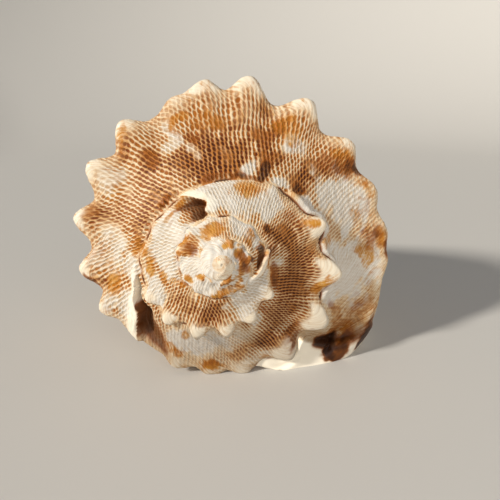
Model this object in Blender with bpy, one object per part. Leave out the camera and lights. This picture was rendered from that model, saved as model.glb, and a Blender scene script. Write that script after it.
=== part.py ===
"""Helmet sea shell, grown as one piece: a knobbed spire, a body whorl, an open aperture and a flat lip.

The surface is described the way the shell grows. A station on it has two numbers:
    growth  how far the animal had turned round the axis, in degrees, when it laid down that edge
    v       where on that edge: 0 at the suture, 1 at the shoulder crest, 2 at the front of the canal
The shell lies on its aperture on z = 0, apex towards -Y, and the axis runs towards +Y.
Lengths are millimetres until the last step, which scales the mesh to metres.
"""

import math

import bmesh
import bpy
import numpy as np

MILLIMETRE = 0.001

# Frame: the tip of the spire, and the direction of the coiling axis away from it
APEX = (-5.465, -76.241, 51.8)
AXIS_YAW = 3.9
AXIS_DROP = 4.85

# Growth of the shell, in degrees turned round the axis
LIP = 525.0
EDGE_LAG = 40.0
WHORL = 360.0 - EDGE_LAG
COLUMNS_PER_WHORL = 110
SPIRE_COLUMNS = 4 * COLUMNS_PER_WHORL
CAVITY_COLUMNS = 44
CAVITY_END = 345.0
CANAL_LAG = 12.0

# Radius of the shoulder between its knobs: (degrees turned, radius)
SHOULDER = (
    (-1120, 3.6), (-900, 6.0), (-740, 8.4), (-600, 11.6), (-430, 15.0), (-340, 16.2), (-270, 17.4),
    (-225, 22.0), (-196, 25.2), (-145, 28.6), (-105, 29.0), (-50, 25.8), (0, 27.8), (37, 31.7),
    (86, 37.7), (140, 46.0), (177, 48.5), (225, 46.5), (274, 48.4), (314, 53.3), (363, 57.7),
    (405, 60.2), (437, 65.0), (471, 70.6), (540, 80.0),
)
# Shoulder knobs: (degrees turned, height, half width in degrees)
KNOBS = (
    (-430, 2.6, 12), (-403, 2.4, 12), (-286, 1.6, 12), (-233, 4.4, 12), (-206, 4.6, 12), (-184, 5.6, 11),
    (-162, 6.0, 11), (-139, 4.6, 11), (-119, 3.4, 10), (74, 6.4, 11), (101, 8.4, 13), (126, 8.2, 12),
    (148, 6.4, 11), (170, 3.4, 10), (185, 3.0, 9), (202, 3.0, 9), (245, 5.0, 9), (264, 6.2, 10),
    (285, 6.8, 10), (305, 7.0, 10), (324, 6.6, 10), (349, 7.0, 10), (357, 4.0, 8), (371, 8.6, 11),
    (392, 8.0, 11), (412, 5.4, 10), (430, 2.8, 9), (446, 2.2, 9), (456, 1.6, 8), (474, 1.6, 8),
)
# Two lower rows of nodules on the side: (place down the side, height, degrees between nodules)
NODULE_ROWS = ((0.27, 2.6, 21.0), (0.47, 1.6, 21.0))
NODULE_FIRST = 236.0
NODULE_LAST = 450.0
NODULE_HALF_WIDTH = 7.5
NODULE_HALF_HEIGHT = 0.075
# Varices, each an old lip that the shell later grew past: degrees turned at the suture
VARICES = (-252.0, 8.0, 272.0)
VARIX_HEIGHT = 0.055
VARIX_BACK = 9.0
VARIX_FRONT = 2.6

# Profile of a whorl, as fractions of its shoulder radius
SHOULDER_DEPTH = 0.50
RAMP_SAG = 0.035
KNOB_RISE = 0.12
KNOB_ROOT = 0.5
KNOB_SKIRT = 0.13
RAMP_LAP = 0.22
SUTURE_DROP = 0.5
SUTURE_DROP_AT_KNOB = 0.5
SIDE_BELLY = 0.03
SIDE_POWER = 1.0
NUB_DEPTH = 0.7

# Front end of the canal
CANAL_DEPTH = 138.0
CANAL_DEPTH_PER_TURN = 14.0
CANAL_RADIUS = 4.0
CANAL_RADIUS_PER_TURN = 5.0
CANAL_FROM = 137.0
TIP_DEPTH = 149.0
RECURVE_FROM = 116.0
RECURVE = 0.012

# Wall, callus and lip
WALL = 3.2
CALLUS_HEIGHT = 10.0
CALLUS_AT = 150.0
CALLUS_HALF_WIDTH = 65.0
LIP_BLEND = 17.0
INNER_BLEND = 24.0
# Margins of the flat lip, seen from above the apex: (v, to the right, to the back, height)
OUTER_MARGIN = (
    (0.0, 11.2, 21.4, 0.0), (0.3, 24.0, 23.8, 0.0), (0.55, 36.0, 26.7, 0.0), (0.78, 46.0, 30.8, 0.0),
    (1.0, 54.5, 38.5, 0.0), (1.1, 60.5, 49.0, 0.0), (1.2, 62.5, 60.0, 0.0), (1.3, 61.5, 72.0, 0.0),
    (1.4, 57.0, 84.5, 0.0), (1.5, 48.0, 97.5, 0.0), (1.6, 36.0, 110.0, 3.5), (1.7, 24.0, 121.5, 12.0),
    (1.8, 14.0, 132.0, 23.0), (1.9, 6.0, 141.5, 34.0), (2.0, -0.5, 149.0, 44.0),
)
INNER_MARGIN = (
    (0.0, 12.0, 27.0, 0.0), (0.3, 22.0, 31.5, 0.0), (0.55, 30.0, 37.5, 0.0), (0.78, 35.0, 45.0, 0.0),
    (1.0, 38.5, 53.0, 0.0), (1.1, 41.0, 60.5, 0.0), (1.2, 42.0, 68.5, 0.0), (1.3, 41.0, 78.5, 0.0),
    (1.4, 37.0, 89.0, 0.0), (1.5, 29.5, 100.0, 0.0), (1.6, 21.0, 110.0, 4.0), (1.7, 13.0, 120.0, 12.5),
    (1.8, 6.5, 129.5, 23.0), (1.9, 1.5, 137.5, 33.5), (2.0, -2.5, 144.0, 42.0),
)

SUTURE_V = 1.03
CORNER_V = 1.07
RAMP_ROWS = (0.0, 0.12, 0.36, 0.64, 0.86, 1.0, SUTURE_V)
SIDE_ROWS = (SUTURE_V, CORNER_V, 1.14, 1.23, 1.33, 1.45, 1.58, 1.72, 1.86, 2.0)
EDGE_ROWS = RAMP_ROWS + SIDE_ROWS[1:]

SHELL_COLOUR = (0.78, 0.60, 0.42, 1.0)
SHELL_ROUGHNESS = 0.45
WELD = 0.0005


def smooth_step(x):
    """Ease from 0 at x = 0 to 1 at x = 1."""
    x = np.clip(x, 0.0, 1.0)
    return x * x * (3.0 - 2.0 * x)


def through(stations, x):
    """Smooth curve through (place, value) stations, read at x."""
    places = np.array([s[0] for s in stations], float)
    values = np.array([s[1] for s in stations], float)
    slopes = np.gradient(values, places)
    x = np.clip(x, places[0], places[-1])
    k = np.clip(np.searchsorted(places, x, side="right") - 1, 0, len(places) - 2)
    span = places[k + 1] - places[k]
    t = (x - places[k]) / span
    rise = values[k + 1] - values[k]
    start, end = slopes[k] * span, slopes[k + 1] * span
    return values[k] + t * start + t * t * (3 * rise - 2 * start - end) + t ** 3 * (start + end - 2 * rise)


def axes():
    """Axis direction away from the apex, and the directions up and right across it."""
    yaw, drop = math.radians(AXIS_YAW), math.radians(AXIS_DROP)
    along = np.array([-math.sin(yaw) * math.cos(drop), math.cos(yaw) * math.cos(drop), -math.sin(drop)])
    up = np.array([0.0, 0.0, 1.0]) - along * along[2]
    up /= np.linalg.norm(up)
    right = np.cross(along, up)
    return along, up, right


def knob_height(turn):
    """Height of the shoulder knobs at an angle of turn."""
    total = np.zeros_like(turn)
    for centre, height, half_width in KNOBS:
        x = np.clip(np.abs(turn - centre) / half_width, 0.0, 1.0)
        total = total + height * np.cos(x * math.pi / 2) ** 2
    return total


def nodules(turn, side):
    """Height of the lower rows of nodules on the side of the body whorl."""
    total = np.zeros_like(turn)
    ends = smooth_step((turn - NODULE_FIRST) / 12.0) * smooth_step((NODULE_LAST - turn) / 12.0)
    for place, height, pitch in NODULE_ROWS:
        x = np.abs((turn - NODULE_FIRST) % pitch - pitch / 2) / NODULE_HALF_WIDTH
        y = np.abs(side - place) / NODULE_HALF_HEIGHT
        total = total + height * ends * (1 - smooth_step(x)) * (1 - smooth_step(y))
    return total


def varix(growth):
    """Raised edge of each old lip: a slow rise, a crest, and a steep drop to the newer shell."""
    total = np.zeros_like(growth)
    for place in VARICES:
        x = growth - place
        total = total + np.where(x < 0, np.exp(-(x / VARIX_BACK) ** 2), np.exp(-(x / VARIX_FRONT) ** 2))
    return total


def turn_of(growth, v):
    """Angle of turn at which a growth edge stands, at v along it."""
    side = np.maximum(v - CORNER_V, 0.0) / (2.0 - CORNER_V)
    ramp = growth - EDGE_LAG * np.minimum(v, 1.0)
    return ramp + ((growth - LIP) / 8.0 + CANAL_LAG) * side ** 2


def end_of_side(turn):
    """Radius and depth of the front end of the side."""
    grown = (turn - CANAL_FROM) / 360.0
    radius = CANAL_RADIUS + CANAL_RADIUS_PER_TURN * np.maximum(grown, 0.0) ** 2 + np.minimum(grown, 0.0)
    return radius, CANAL_DEPTH + CANAL_DEPTH_PER_TURN * grown


def down_the_side(turn, v):
    """Place on the side, from 0 at the crest to 1 at the front end, with the suture lower under each knob."""
    length = end_of_side(turn)[1] - SHOULDER_DEPTH * through(SHOULDER, turn)
    suture = (SUTURE_DROP + SUTURE_DROP_AT_KNOB * knob_height(turn)) / length
    above = (v - 1.0) / (SUTURE_V - 1.0) * suture
    below = suture + (v - SUTURE_V) / (2.0 - SUTURE_V) * (1.0 - suture)
    return np.where(v < SUTURE_V, above, below)


def side_point(turn, side):
    """Radius and depth on the side of a whorl, 0 at its shoulder crest and 1 at its front end."""
    shoulder = through(SHOULDER, turn)
    crest_depth = SHOULDER_DEPTH * shoulder
    end_radius, end_depth = end_of_side(turn)
    fall = np.maximum(1.0 - side ** 2, 0.0) ** SIDE_POWER
    radius = end_radius + (shoulder - end_radius) * fall
    radius = radius + shoulder * SIDE_BELLY * np.sin(np.clip(side / 0.5, 0.0, 1.0) * math.pi)
    depth = crest_depth + (end_depth - crest_depth) * side
    knob = knob_height(turn)
    skirt = np.exp(-(side * (end_depth - crest_depth) / (KNOB_SKIRT * shoulder)) ** 2)
    callus = np.clip(np.abs(turn - CALLUS_AT) / CALLUS_HALF_WIDTH, 0.0, 1.0)
    callus = CALLUS_HEIGHT * (1 - smooth_step(callus)) * smooth_step((side - 0.03) / 0.2)
    callus = callus * smooth_step((0.9 - side) / 0.3)
    return radius + knob * skirt + callus + nodules(turn, side), depth - KNOB_RISE * knob * skirt


def varix_lift(growth, v, turn):
    """How far an old lip pushes the surface out and towards the apex."""
    lift = varix(growth) * VARIX_HEIGHT * through(SHOULDER, turn)
    lift = lift * smooth_step(v / 0.3) * smooth_step((1.9 - v) / 0.3) * np.where(v > 1.0, 0.7, 1.0)
    flat = 1.0 - smooth_step((v - 0.7) / 0.4)
    return lift * (1.0 - 0.6 * flat), -0.8 * lift * flat


def side_station(growth, v):
    """Angle of turn, radius and depth at a station of the side, v from 1 to 2."""
    turn = turn_of(growth, v)
    radius, depth = side_point(turn, down_the_side(turn, v))
    out, forward = varix_lift(growth, v, turn)
    return turn, radius + out, depth + forward


def ramp_depth(turn, radius):
    """Depth of the smooth ramp at a radius, between the shoulder of the last whorl and this one's."""
    inner, outer = through(SHOULDER, turn - 360.0), through(SHOULDER, turn)
    along = (radius - inner) / (outer - inner)
    return SHOULDER_DEPTH * radius + RAMP_SAG * outer * 4 * along * (1 - along)


def ramp_station(growth, v):
    """Angle of turn, radius and depth at a station of the ramp, v from 0 at the suture to 1."""
    turn = turn_of(growth, v)
    suture_v = np.full_like(turn, SUTURE_V)
    _, suture_radius, suture_depth = side_station(turn - 360.0 + EDGE_LAG, suture_v)
    radius = suture_radius + (through(SHOULDER, turn) - suture_radius) * v
    lap = np.maximum(1.0 - v / RAMP_LAP, 0.0) ** 2
    depth = ramp_depth(turn, radius) + (suture_depth - ramp_depth(turn, suture_radius)) * lap
    knob = knob_height(turn) * smooth_step((v - KNOB_ROOT) / (1 - KNOB_ROOT))
    out, forward = varix_lift(growth, v, turn)
    return turn, radius + knob + out, depth - KNOB_RISE * knob + forward


def half_plane(growth, v):
    """Angle of turn, radius and depth of the outside at a station."""
    on_ramp = ramp_station(growth, np.minimum(v, 1.0))
    on_side = side_station(growth, np.maximum(v, 1.0))
    return [np.where(v <= 1.0, first, second) for first, second in zip(on_ramp, on_side)]


def in_world(turn, radius, depth):
    """Place of a point given round the axis, with the front of the canal bent up towards the back."""
    along, up, right = axes()
    angle = np.radians(turn)[..., None]
    bend = RECURVE * np.maximum(depth - RECURVE_FROM, 0.0) ** 2
    place = np.array(APEX) + along * depth[..., None]
    place = place + radius[..., None] * (np.cos(angle) * up + np.sin(angle) * right)
    return place + bend[..., None] * up


def margin(stations, v):
    """Point on one margin of the lip."""
    offset = [through([(s[0], s[k]) for s in stations], v) for k in (1, 2)]
    height = through([(s[0], s[3]) for s in stations], v)
    return np.stack([APEX[0] + offset[0], APEX[1] + offset[1], np.maximum(height, 0.0)], -1)


def rest_on_ground(place):
    """Flatten what would reach below the surface that the shell lies on."""
    place[..., 2] = np.maximum(place[..., 2], 0.0)
    return place


def outside(growth, v):
    """Outer surface, which runs on over the callus and into the aperture."""
    place = in_world(*half_plane(growth, v))
    flare = smooth_step((growth - (LIP - LIP_BLEND)) / LIP_BLEND) * smooth_step(v / 0.3)
    place = place + flare[..., None] * (margin(OUTER_MARGIN, v) - place)
    return rest_on_ground(place)


def lining(growth, v):
    """Inner surface of the outer wall; its two ends lie on the whorl inside it."""
    v_step = 0.004
    turn = turn_of(growth, v)
    smooth_v = np.clip(v, 0.0, 2.0 - v_step)
    radius, depth = plain_profile(turn, smooth_v)
    next_radius, next_depth = plain_profile(turn, smooth_v + v_step)
    along_radius, along_depth = next_radius - radius, next_depth - depth
    length = np.hypot(along_radius, along_depth)
    inner = in_world(turn, radius - WALL * along_depth / length, depth + WALL * along_radius / length)
    flare = smooth_step((growth - (LIP - INNER_BLEND)) / INNER_BLEND)
    inner = inner + flare[..., None] * (margin(INNER_MARGIN, v) - inner)
    corner = outside(growth - WHORL, np.full_like(v, CORNER_V))
    front = outside(growth - WHORL, np.full_like(v, 2.0))
    inner = np.where((v <= 0.0)[..., None], corner, inner)
    return np.where((v >= 2.0)[..., None], front, inner)


def plain_profile(turn, v):
    """Profile of a whorl without knobs, nodules or callus, for the smooth lining."""
    inner_radius, shoulder = through(SHOULDER, turn - 360.0), through(SHOULDER, turn)
    crest_depth = SHOULDER_DEPTH * shoulder
    ramp_radius = inner_radius + (shoulder - inner_radius) * np.minimum(v, 1.0)
    side = np.maximum(v - 1.0, 0.0)
    end_radius, end_depth = end_of_side(turn)
    fall = np.maximum(1.0 - side ** 2, 0.0) ** SIDE_POWER
    radius = np.where(v < 1.0, ramp_radius, end_radius + (shoulder - end_radius) * fall)
    return radius, np.where(v < 1.0, ramp_depth(turn, ramp_radius), crest_depth + (end_depth - crest_depth) * side)


def add_sheet(bm, surface, growths, rows):
    """Add a grid of faces and move its vertices on to a surface of the shell."""
    columns, levels = len(growths) - 1, len(rows) - 1
    made = bmesh.ops.create_grid(bm, x_segments=columns, y_segments=levels, size=1.0)["verts"]
    column = [round((vert.co.x + 1.0) / 2.0 * columns) for vert in made]
    level = [round((vert.co.y + 1.0) / 2.0 * levels) for vert in made]
    places = surface(np.array(growths)[column], np.array(rows)[level])
    for vert, place in zip(made, places):
        vert.co = place


def add_strip(bm, first, second):
    """Join two rows of points with a strip of faces."""
    count = len(first) - 1
    made = bmesh.ops.create_grid(bm, x_segments=count, y_segments=1, size=1.0)["verts"]
    for vert in made:
        side = first if vert.co.y < 0 else second
        vert.co = side[round((vert.co.x + 1.0) / 2.0 * count)]


def close_holes(bm, centres):
    """Fill each hole that is left with a fan round the nearest of the centres."""
    rims = [edge for edge in bm.edges if edge.is_boundary]
    for face in bmesh.ops.holes_fill(bm, edges=rims, sides=0)["faces"]:
        middle = np.array(face.calc_center_median())
        tip = bmesh.ops.poke(bm, faces=[face])["verts"][0]
        tip.co = min(centres, key=lambda centre: np.linalg.norm(middle - centre))


def growth_columns(first, count):
    """Growths of a run of columns that ends the given number of columns before the lip."""
    return [LIP - WHORL * (first - k) / COLUMNS_PER_WHORL for k in range(count + 1)]


def add_shell(bm):
    """Outside, aperture lining, lip face and the three small closures."""
    whorl, back = COLUMNS_PER_WHORL, CAVITY_COLUMNS
    add_sheet(bm, outside, growth_columns(SPIRE_COLUMNS, SPIRE_COLUMNS), RAMP_ROWS)
    add_sheet(bm, outside, growth_columns(whorl, whorl), SIDE_ROWS)
    add_sheet(bm, outside, growth_columns(whorl + back, back), SIDE_ROWS[1:])
    inside = growth_columns(back, back)
    add_sheet(bm, lining, inside, EDGE_ROWS)
    lip_rows = np.array(EDGE_ROWS)
    at_lip = np.full_like(lip_rows, LIP)
    add_strip(bm, outside(at_lip, lip_rows), lining(at_lip, lip_rows))
    bmesh.ops.remove_doubles(bm, verts=bm.verts, dist=WELD)
    one = np.ones(1)
    nub = in_world(0 * one, 0 * one, NUB_DEPTH * one)[0]
    core = in_world(0 * one, 0 * one, TIP_DEPTH * one)[0]
    throat = in_world(CAVITY_END * one, 40 * one, 52 * one)[0]
    close_holes(bm, (nub, core, throat))
    bmesh.ops.triangulate(bm, faces=bm.faces)
    bmesh.ops.recalc_face_normals(bm, faces=bm.faces)
    bmesh.ops.scale(bm, vec=(MILLIMETRE,) * 3, verts=bm.verts)


def shell_material():
    """Cream shell with a soft gloss."""
    material = bpy.data.materials.new("shell")
    material.use_nodes = True
    surface = material.node_tree.nodes["Principled BSDF"]
    surface.inputs["Base Color"].default_value = SHELL_COLOUR
    surface.inputs["Roughness"].default_value = SHELL_ROUGHNESS
    surface.inputs["Metallic"].default_value = 0.0
    return material


def main():
    """Clear the scene and build the shell."""
    for old in list(bpy.data.objects):
        bpy.data.objects.remove(old)
    bm = bmesh.new()
    add_shell(bm)
    mesh = bpy.data.meshes.new("shell")
    bm.to_mesh(mesh)
    bm.free()
    mesh.shade_smooth()
    mesh.materials.append(shell_material())
    bpy.context.scene.collection.objects.link(bpy.data.objects.new("shell", mesh))


main()
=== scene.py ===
"""Helmet sea shell lying on its aperture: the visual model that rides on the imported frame.

The shell is one grown piece, so it is one closed mesh. Its surface is described the way the shell grows.
A station on it has two numbers:
    growth  how far the animal had turned round the axis, in degrees, when it laid down that edge
    v       where on that edge: 0 at the suture, 1 at the shoulder crest, 2 at the front of the canal
Lengths are millimetres until the finished mesh is scaled to metres.
"""

from __future__ import annotations

import logging
import math
from dataclasses import dataclass, field
from enum import Enum
from typing import Callable, Sequence

import bmesh
import bpy
import numpy as np
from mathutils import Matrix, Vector

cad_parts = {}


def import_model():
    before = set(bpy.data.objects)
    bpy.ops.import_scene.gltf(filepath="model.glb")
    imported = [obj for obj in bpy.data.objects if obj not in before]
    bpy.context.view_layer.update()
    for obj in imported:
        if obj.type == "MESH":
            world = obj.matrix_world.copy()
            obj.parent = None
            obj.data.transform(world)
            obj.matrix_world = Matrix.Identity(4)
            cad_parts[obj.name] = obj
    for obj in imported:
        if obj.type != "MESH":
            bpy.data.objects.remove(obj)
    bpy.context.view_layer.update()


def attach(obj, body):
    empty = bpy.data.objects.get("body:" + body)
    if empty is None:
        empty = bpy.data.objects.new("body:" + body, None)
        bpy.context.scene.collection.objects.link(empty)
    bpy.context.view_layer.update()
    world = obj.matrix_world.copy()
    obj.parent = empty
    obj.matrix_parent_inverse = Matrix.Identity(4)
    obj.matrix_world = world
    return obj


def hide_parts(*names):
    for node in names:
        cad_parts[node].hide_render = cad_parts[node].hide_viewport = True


Array = np.ndarray
Pairs = tuple[tuple[float, float], ...]
Rows = tuple[tuple[float, ...], ...]
Point = tuple[float, float, float]
Colour = tuple[float, float, float, float]
Stops = Sequence[tuple[float, Colour]]
Surface = Callable[[Array, Array], "Skin"]

MILLIMETRE = 0.001
WELD = 0.0008
DRESSING = ("net", "tint", "glaze")
LOST_ON_RAMP = 0.6
TURNED_ON_RAMP = 0.8
LOG = logging.getLogger("helmet_shell")


def smooth_step(x: Array) -> Array:
    """Ease from 0 at x = 0 to 1 at x = 1."""
    x = np.clip(x, 0.0, 1.0)
    return x * x * (3.0 - 2.0 * x)


def rise(x: Array, start: Array | float, run: Array | float) -> Array:
    """Ease from 0 at the start to 1 at the end of the run."""
    return smooth_step((x - start) / run)


def fall(x: Array, end: Array | float, run: Array | float) -> Array:
    """Ease from 1 down to 0 at the end, over the run before it."""
    return smooth_step((end - x) / run)


def window(x: Array, start: float, end: float, run_in: float, run_out: float) -> Array:
    """Ease from 0 to 1 past the start, and back to 0 at the end."""
    return rise(x, start, run_in) * fall(x, end, run_out)


def bell(x: Array) -> Array:
    """Soft bump, 1 at x = 0."""
    return np.exp(-x * x)


def wave(x: Array, pitch: float) -> Array:
    """Wave from -1 to 1, with a crest at x = 0 and at each pitch from there."""
    return np.cos(2 * math.pi * x / pitch)


def without(x: Array | float, *masks: Array) -> Array:
    """Find what masks leave of something.

    Args:
        x: What is masked.
        masks: Strengths of the masks, from 0 to 1.

    Returns:
        What is left.
    """
    for mask in masks:
        x = x * (1.0 - mask)
    return x


def together(*layers: Array) -> Array:
    """Strength of layers laid over each other."""
    return 1.0 - without(1.0, *layers)


def add_object(name: str, data: bpy.types.ID) -> bpy.types.Object:
    """Add an object to the scene.

    Args:
        name: Its name.
        data: Its mesh, light or camera.

    Returns:
        The object.
    """
    made = bpy.data.objects.new(name, data)
    bpy.context.scene.collection.objects.link(made)
    return made


def finish_mesh(bm: bmesh.types.BMesh, name: str) -> bpy.types.Object:
    """Turn a mesh in the making into a smooth object.

    Args:
        bm: The mesh, which is freed.
        name: Name of the object and its mesh.

    Returns:
        The object.
    """
    for face in bm.faces:
        face.smooth = True
    mesh = bpy.data.meshes.new(name)
    bm.to_mesh(mesh)
    bm.free()
    return add_object(name, mesh)


def through(stations: Rows, x: Array, column: int = 1) -> Array:
    """Smooth curve through stations.

    Args:
        stations: Rows of numbers, the first of each row its place on the curve.
        x: Places to read the curve at.
        column: Which number of a row the curve runs through.

    Returns:
        The value of the curve at each place, held at the ends.
    """
    places = np.array([row[0] for row in stations], float)
    values = np.array([row[column] for row in stations], float)
    slopes = np.gradient(values, places)
    x = np.clip(x, places[0], places[-1])
    k = np.clip(np.searchsorted(places, x, side="right") - 1, 0, len(places) - 2)
    span = places[k + 1] - places[k]
    t = (x - places[k]) / span
    climb = values[k + 1] - values[k]
    start, end = slopes[k] * span, slopes[k + 1] * span
    return values[k] + t * start + t * t * (3 * climb - 2 * start - end) + t ** 3 * (start + end - 2 * climb)


class Ripples:
    """Smooth seeded noise over points, made of plane waves."""

    def __init__(self, seed: int, wavelength: float, waves: int) -> None:
        """Choose the waves.

        Args:
            seed: Seed of the choice.
            wavelength: Middle wavelength, in the points' own unit.
            waves: How many waves are added.
        """
        chance = np.random.default_rng(seed)
        ways = chance.normal(size=(waves, 3))
        ways /= np.linalg.norm(ways, axis=1)[:, None]
        self.ways = ways * (2 * math.pi / wavelength * chance.uniform(0.6, 1.6, waves))[:, None]
        self.starts = chance.uniform(0.0, 2 * math.pi, waves)

    def at(self, points: Array) -> Array:
        """Noise with a spread of about 1 at each point."""
        return np.sin(points @ self.ways.T + self.starts).sum(axis=1) * math.sqrt(2.0 / len(self.starts))


@dataclass(frozen=True)
class Coil:
    """The spiral that the shell grows along."""

    apex: Point = (-5.465, -76.241, 51.8)
    axis_yaw: float = 3.9
    axis_drop: float = 4.85
    lip: float = 525.0
    whorl: float = 320.0
    suture_v: float = 1.06
    corner_v: float = 1.10
    edge_lag: float = 40.0
    canal_lag: float = 12.0
    canal_catch_up: float = 8.0
    recurve_from: float = 116.0
    recurve: float = 0.012
    shoulder_radii: Pairs = (
        (-1500, 0.7), (-1300, 1.9), (-1120, 3.6), (-900, 6), (-740, 8.4), (-600, 11.6), (-430, 15),
        (-340, 16.2), (-270, 17.4), (-225, 22), (-196, 25.2), (-145, 28.6), (-105, 29), (-50, 25.8),
        (0, 27.8), (37, 31.7), (86, 37.7), (140, 46), (177, 48.5), (225, 46.5), (274, 48.4), (314, 53.3),
        (363, 57.7), (405, 60.2), (437, 65), (471, 70.6), (540, 80),
    )

    def axes(self) -> tuple[Array, Array, Array]:
        """Find the frame of the coil.

        Returns:
            The axis away from the apex, and the directions up and right across it.
        """
        yaw, drop = math.radians(self.axis_yaw), math.radians(self.axis_drop)
        along = np.array([-math.sin(yaw) * math.cos(drop), math.cos(yaw) * math.cos(drop), -math.sin(drop)])
        up = np.array([0.0, 0.0, 1.0]) - along * along[2]
        up /= np.linalg.norm(up)
        return along, up, np.cross(along, up)

    def shoulder(self, turn: Array) -> Array:
        """Radius of the shoulder crest between its knobs."""
        return through(self.shoulder_radii, turn)

    def turn_of(self, growth: Array, v: Array) -> Array:
        """Find the angle of turn of a station. The side swings back past the corner.

        Args:
            growth: Growth of the edge.
            v: Place on the edge.

        Returns:
            The angle of turn round the axis, in degrees.
        """
        side = np.maximum(v - self.corner_v, 0.0) / (2.0 - self.corner_v)
        swing = (growth - self.lip) / self.canal_catch_up + self.canal_lag
        return growth - self.edge_lag * np.minimum(v, 1.0) + swing * side ** 2

    def in_world(self, turn: Array, radius: Array, depth: Array) -> Array:
        """Place points given round the axis, with the front of the canal bent up.

        Args:
            turn: Angle of turn, in degrees.
            radius: Distance from the axis.
            depth: Distance down the axis from the apex.

        Returns:
            The points in the frame of the part.
        """
        along, up, right = self.axes()
        angle = np.radians(turn)[..., None]
        bend = self.recurve * np.maximum(depth - self.recurve_from, 0.0) ** 2
        place = np.array(self.apex) + along * depth[..., None]
        place = place + radius[..., None] * (np.cos(angle) * up + np.sin(angle) * right)
        return place + bend[..., None] * up


@dataclass(frozen=True)
class Knobs:
    """Blunt knobs on the shoulder crest: (degrees turned, height, half width in degrees)."""

    rows: Rows = (
        (-668, 0.9, 9), (-640, 1.2, 9), (-612, 1.4, 9), (-584, 1.1, 9), (-556, 1.5, 10), (-528, 1.1, 9),
        (-500, 1.4, 9), (-474, 1.3, 9), (-430, 2.6, 12), (-403, 2.4, 12), (-372, 1.5, 10),
        (-344, 1.2, 10), (-316, 1.5, 10), (-286, 1.8, 12), (-233, 4.4, 12), (-206, 4.6, 12),
        (-184, 5.6, 11), (-162, 6, 11), (-139, 4.6, 11), (-119, 3.4, 10), (-88, 1.2, 10), (-60, 0.9, 10),
        (38, 1.4, 10), (74, 6.4, 11), (101, 8.4, 13), (126, 8.2, 12), (148, 6.4, 11), (170, 3.4, 10),
        (185, 3, 9), (202, 3, 9), (245, 5, 9), (264, 6.2, 10), (285, 6.8, 10), (305, 7, 10),
        (324, 6.6, 10), (345, 4, 10), (356, 7.2, 11), (371, 8.6, 11), (392, 8, 11), (412, 5.4, 10),
        (430, 2.8, 9), (446, 2.2, 9), (456, 1.6, 8), (474, 1.6, 8),
    )
    narrowing: float = 0.93

    def height(self, turn: Array) -> Array:
        """Add up the knobs at an angle of turn.

        Args:
            turn: Angle of turn.

        Returns:
            How high they stand there.
        """
        total = np.zeros_like(turn)
        for centre, height, half_width in self.rows:
            x = np.clip(np.abs(turn - centre) / (half_width * self.narrowing), 0.0, 1.0)
            total = total + height * np.cos(x * math.pi / 2) ** 2
        return total


@dataclass(frozen=True)
class Nodules:
    """Two lower rows of nodules on the side: (place down the side, height, degrees between nodules)."""

    rows: Rows = ((0.27, 2.6, 21.0), (0.47, 1.6, 21.0))
    first: float = 236.0
    last: float = 450.0
    run_in: float = 12.0
    half_width: float = 7.5
    half_height: float = 0.075

    def height(self, turn: Array, side: Array) -> Array:
        """Height of the nodules.

        Args:
            turn: Angle of turn.
            side: Place down the side, 0 at the crest and 1 at the front.

        Returns:
            How far they stand out from the side.
        """
        total = np.zeros_like(turn)
        ends = window(turn, self.first, self.last, self.run_in, self.run_in)
        for place, height, pitch in self.rows:
            x = np.abs((turn - self.first) % pitch - pitch / 2) / self.half_width
            y = np.abs(side - place) / self.half_height
            total = total + height * ends * (1 - smooth_step(x)) * (1 - smooth_step(y))
        return total


@dataclass(frozen=True)
class OldLip:
    """A varix: an old lip that the shell later grew past, with a hollow behind its edge."""

    edge: Rows
    hollow_from: float
    hollow_to: float
    depth: float
    ridge: float
    stain_and_shade_from: float
    run_down: float = 27.0
    cliff: float = 1.6
    fade: float = 11.0
    flange: float = 13.0
    fade_in: float = 0.14
    fade_out: float = 0.2
    stain_and_shade_over: float = 0.06
    stain_and_shade_run: float = 25.0

    def past(self, growth: Array, v: Array) -> Array:
        """Growth past the edge, negative in the hollow."""
        return growth - through(self.edge, v)

    def along(self, v: Array, start: float, end: float) -> Array:
        """Ease in and out between two places on the edge."""
        return window(v, start, end, self.fade_in, self.fade_out)

    def stain_and_shade_reach(self, v: Array) -> Array:
        """Where along the edge the hollow is darkened, partly by real stain and partly by painted shade."""
        return self.along(v, self.stain_and_shade_from, self.hollow_to + self.stain_and_shade_over)

    def hollow(self, growth: Array, v: Array) -> Array:
        """Find how deep in the hollow stations are.

        Args:
            growth: Growth of each station.
            v: Place on the edge.

        Returns:
            1 at the foot of the edge, 0 outside the hollow.
        """
        x = self.past(growth, v)
        down = np.where(x < 0, rise(x, -self.run_down, self.run_down) ** 1.5, 0.0)
        return down * self.along(v, self.hollow_from, self.hollow_to)

    def height(self, growth: Array, v: Array) -> Array:
        """Find the height of the edge and its hollow.

        Args:
            growth: Growth of each station.
            v: Place on the edge.

        Returns:
            The height, as a part of the shoulder's radius.
        """
        x = self.past(growth, v)
        up = rise(x, -self.cliff, self.cliff)
        ridge = self.ridge * np.where(x < 0, up, bell(x / self.fade)) * rise(v, 0.0, 0.2)
        return ridge - self.depth * self.hollow(growth, v) * (1.0 - up)

    def stain(self, growth: Array, v: Array) -> Array:
        """Strength of the dark in the hollow: partly real stain, partly painted shade of the recess."""
        x = self.past(growth, v)
        return np.where(x < -0.1, rise(x, -self.stain_and_shade_run, 10.0), 0.0) * self.stain_and_shade_reach(v)

    def polish(self, growth: Array, v: Array) -> Array:
        """Find the smooth porcelain on the edge and in the part of the hollow that isn't darkened by stain
        and painted shade.

        Args:
            growth: Growth of each station.
            v: Place on the edge.

        Returns:
            Its strength.
        """
        x = self.past(growth, v)
        edge = window(x, -0.6, self.flange, 1.0, 6.0) * self.along(v, 0.06, 1.3)
        return np.maximum(edge, without(self.hollow(growth, v), self.stain_and_shade_reach(v)))


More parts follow.
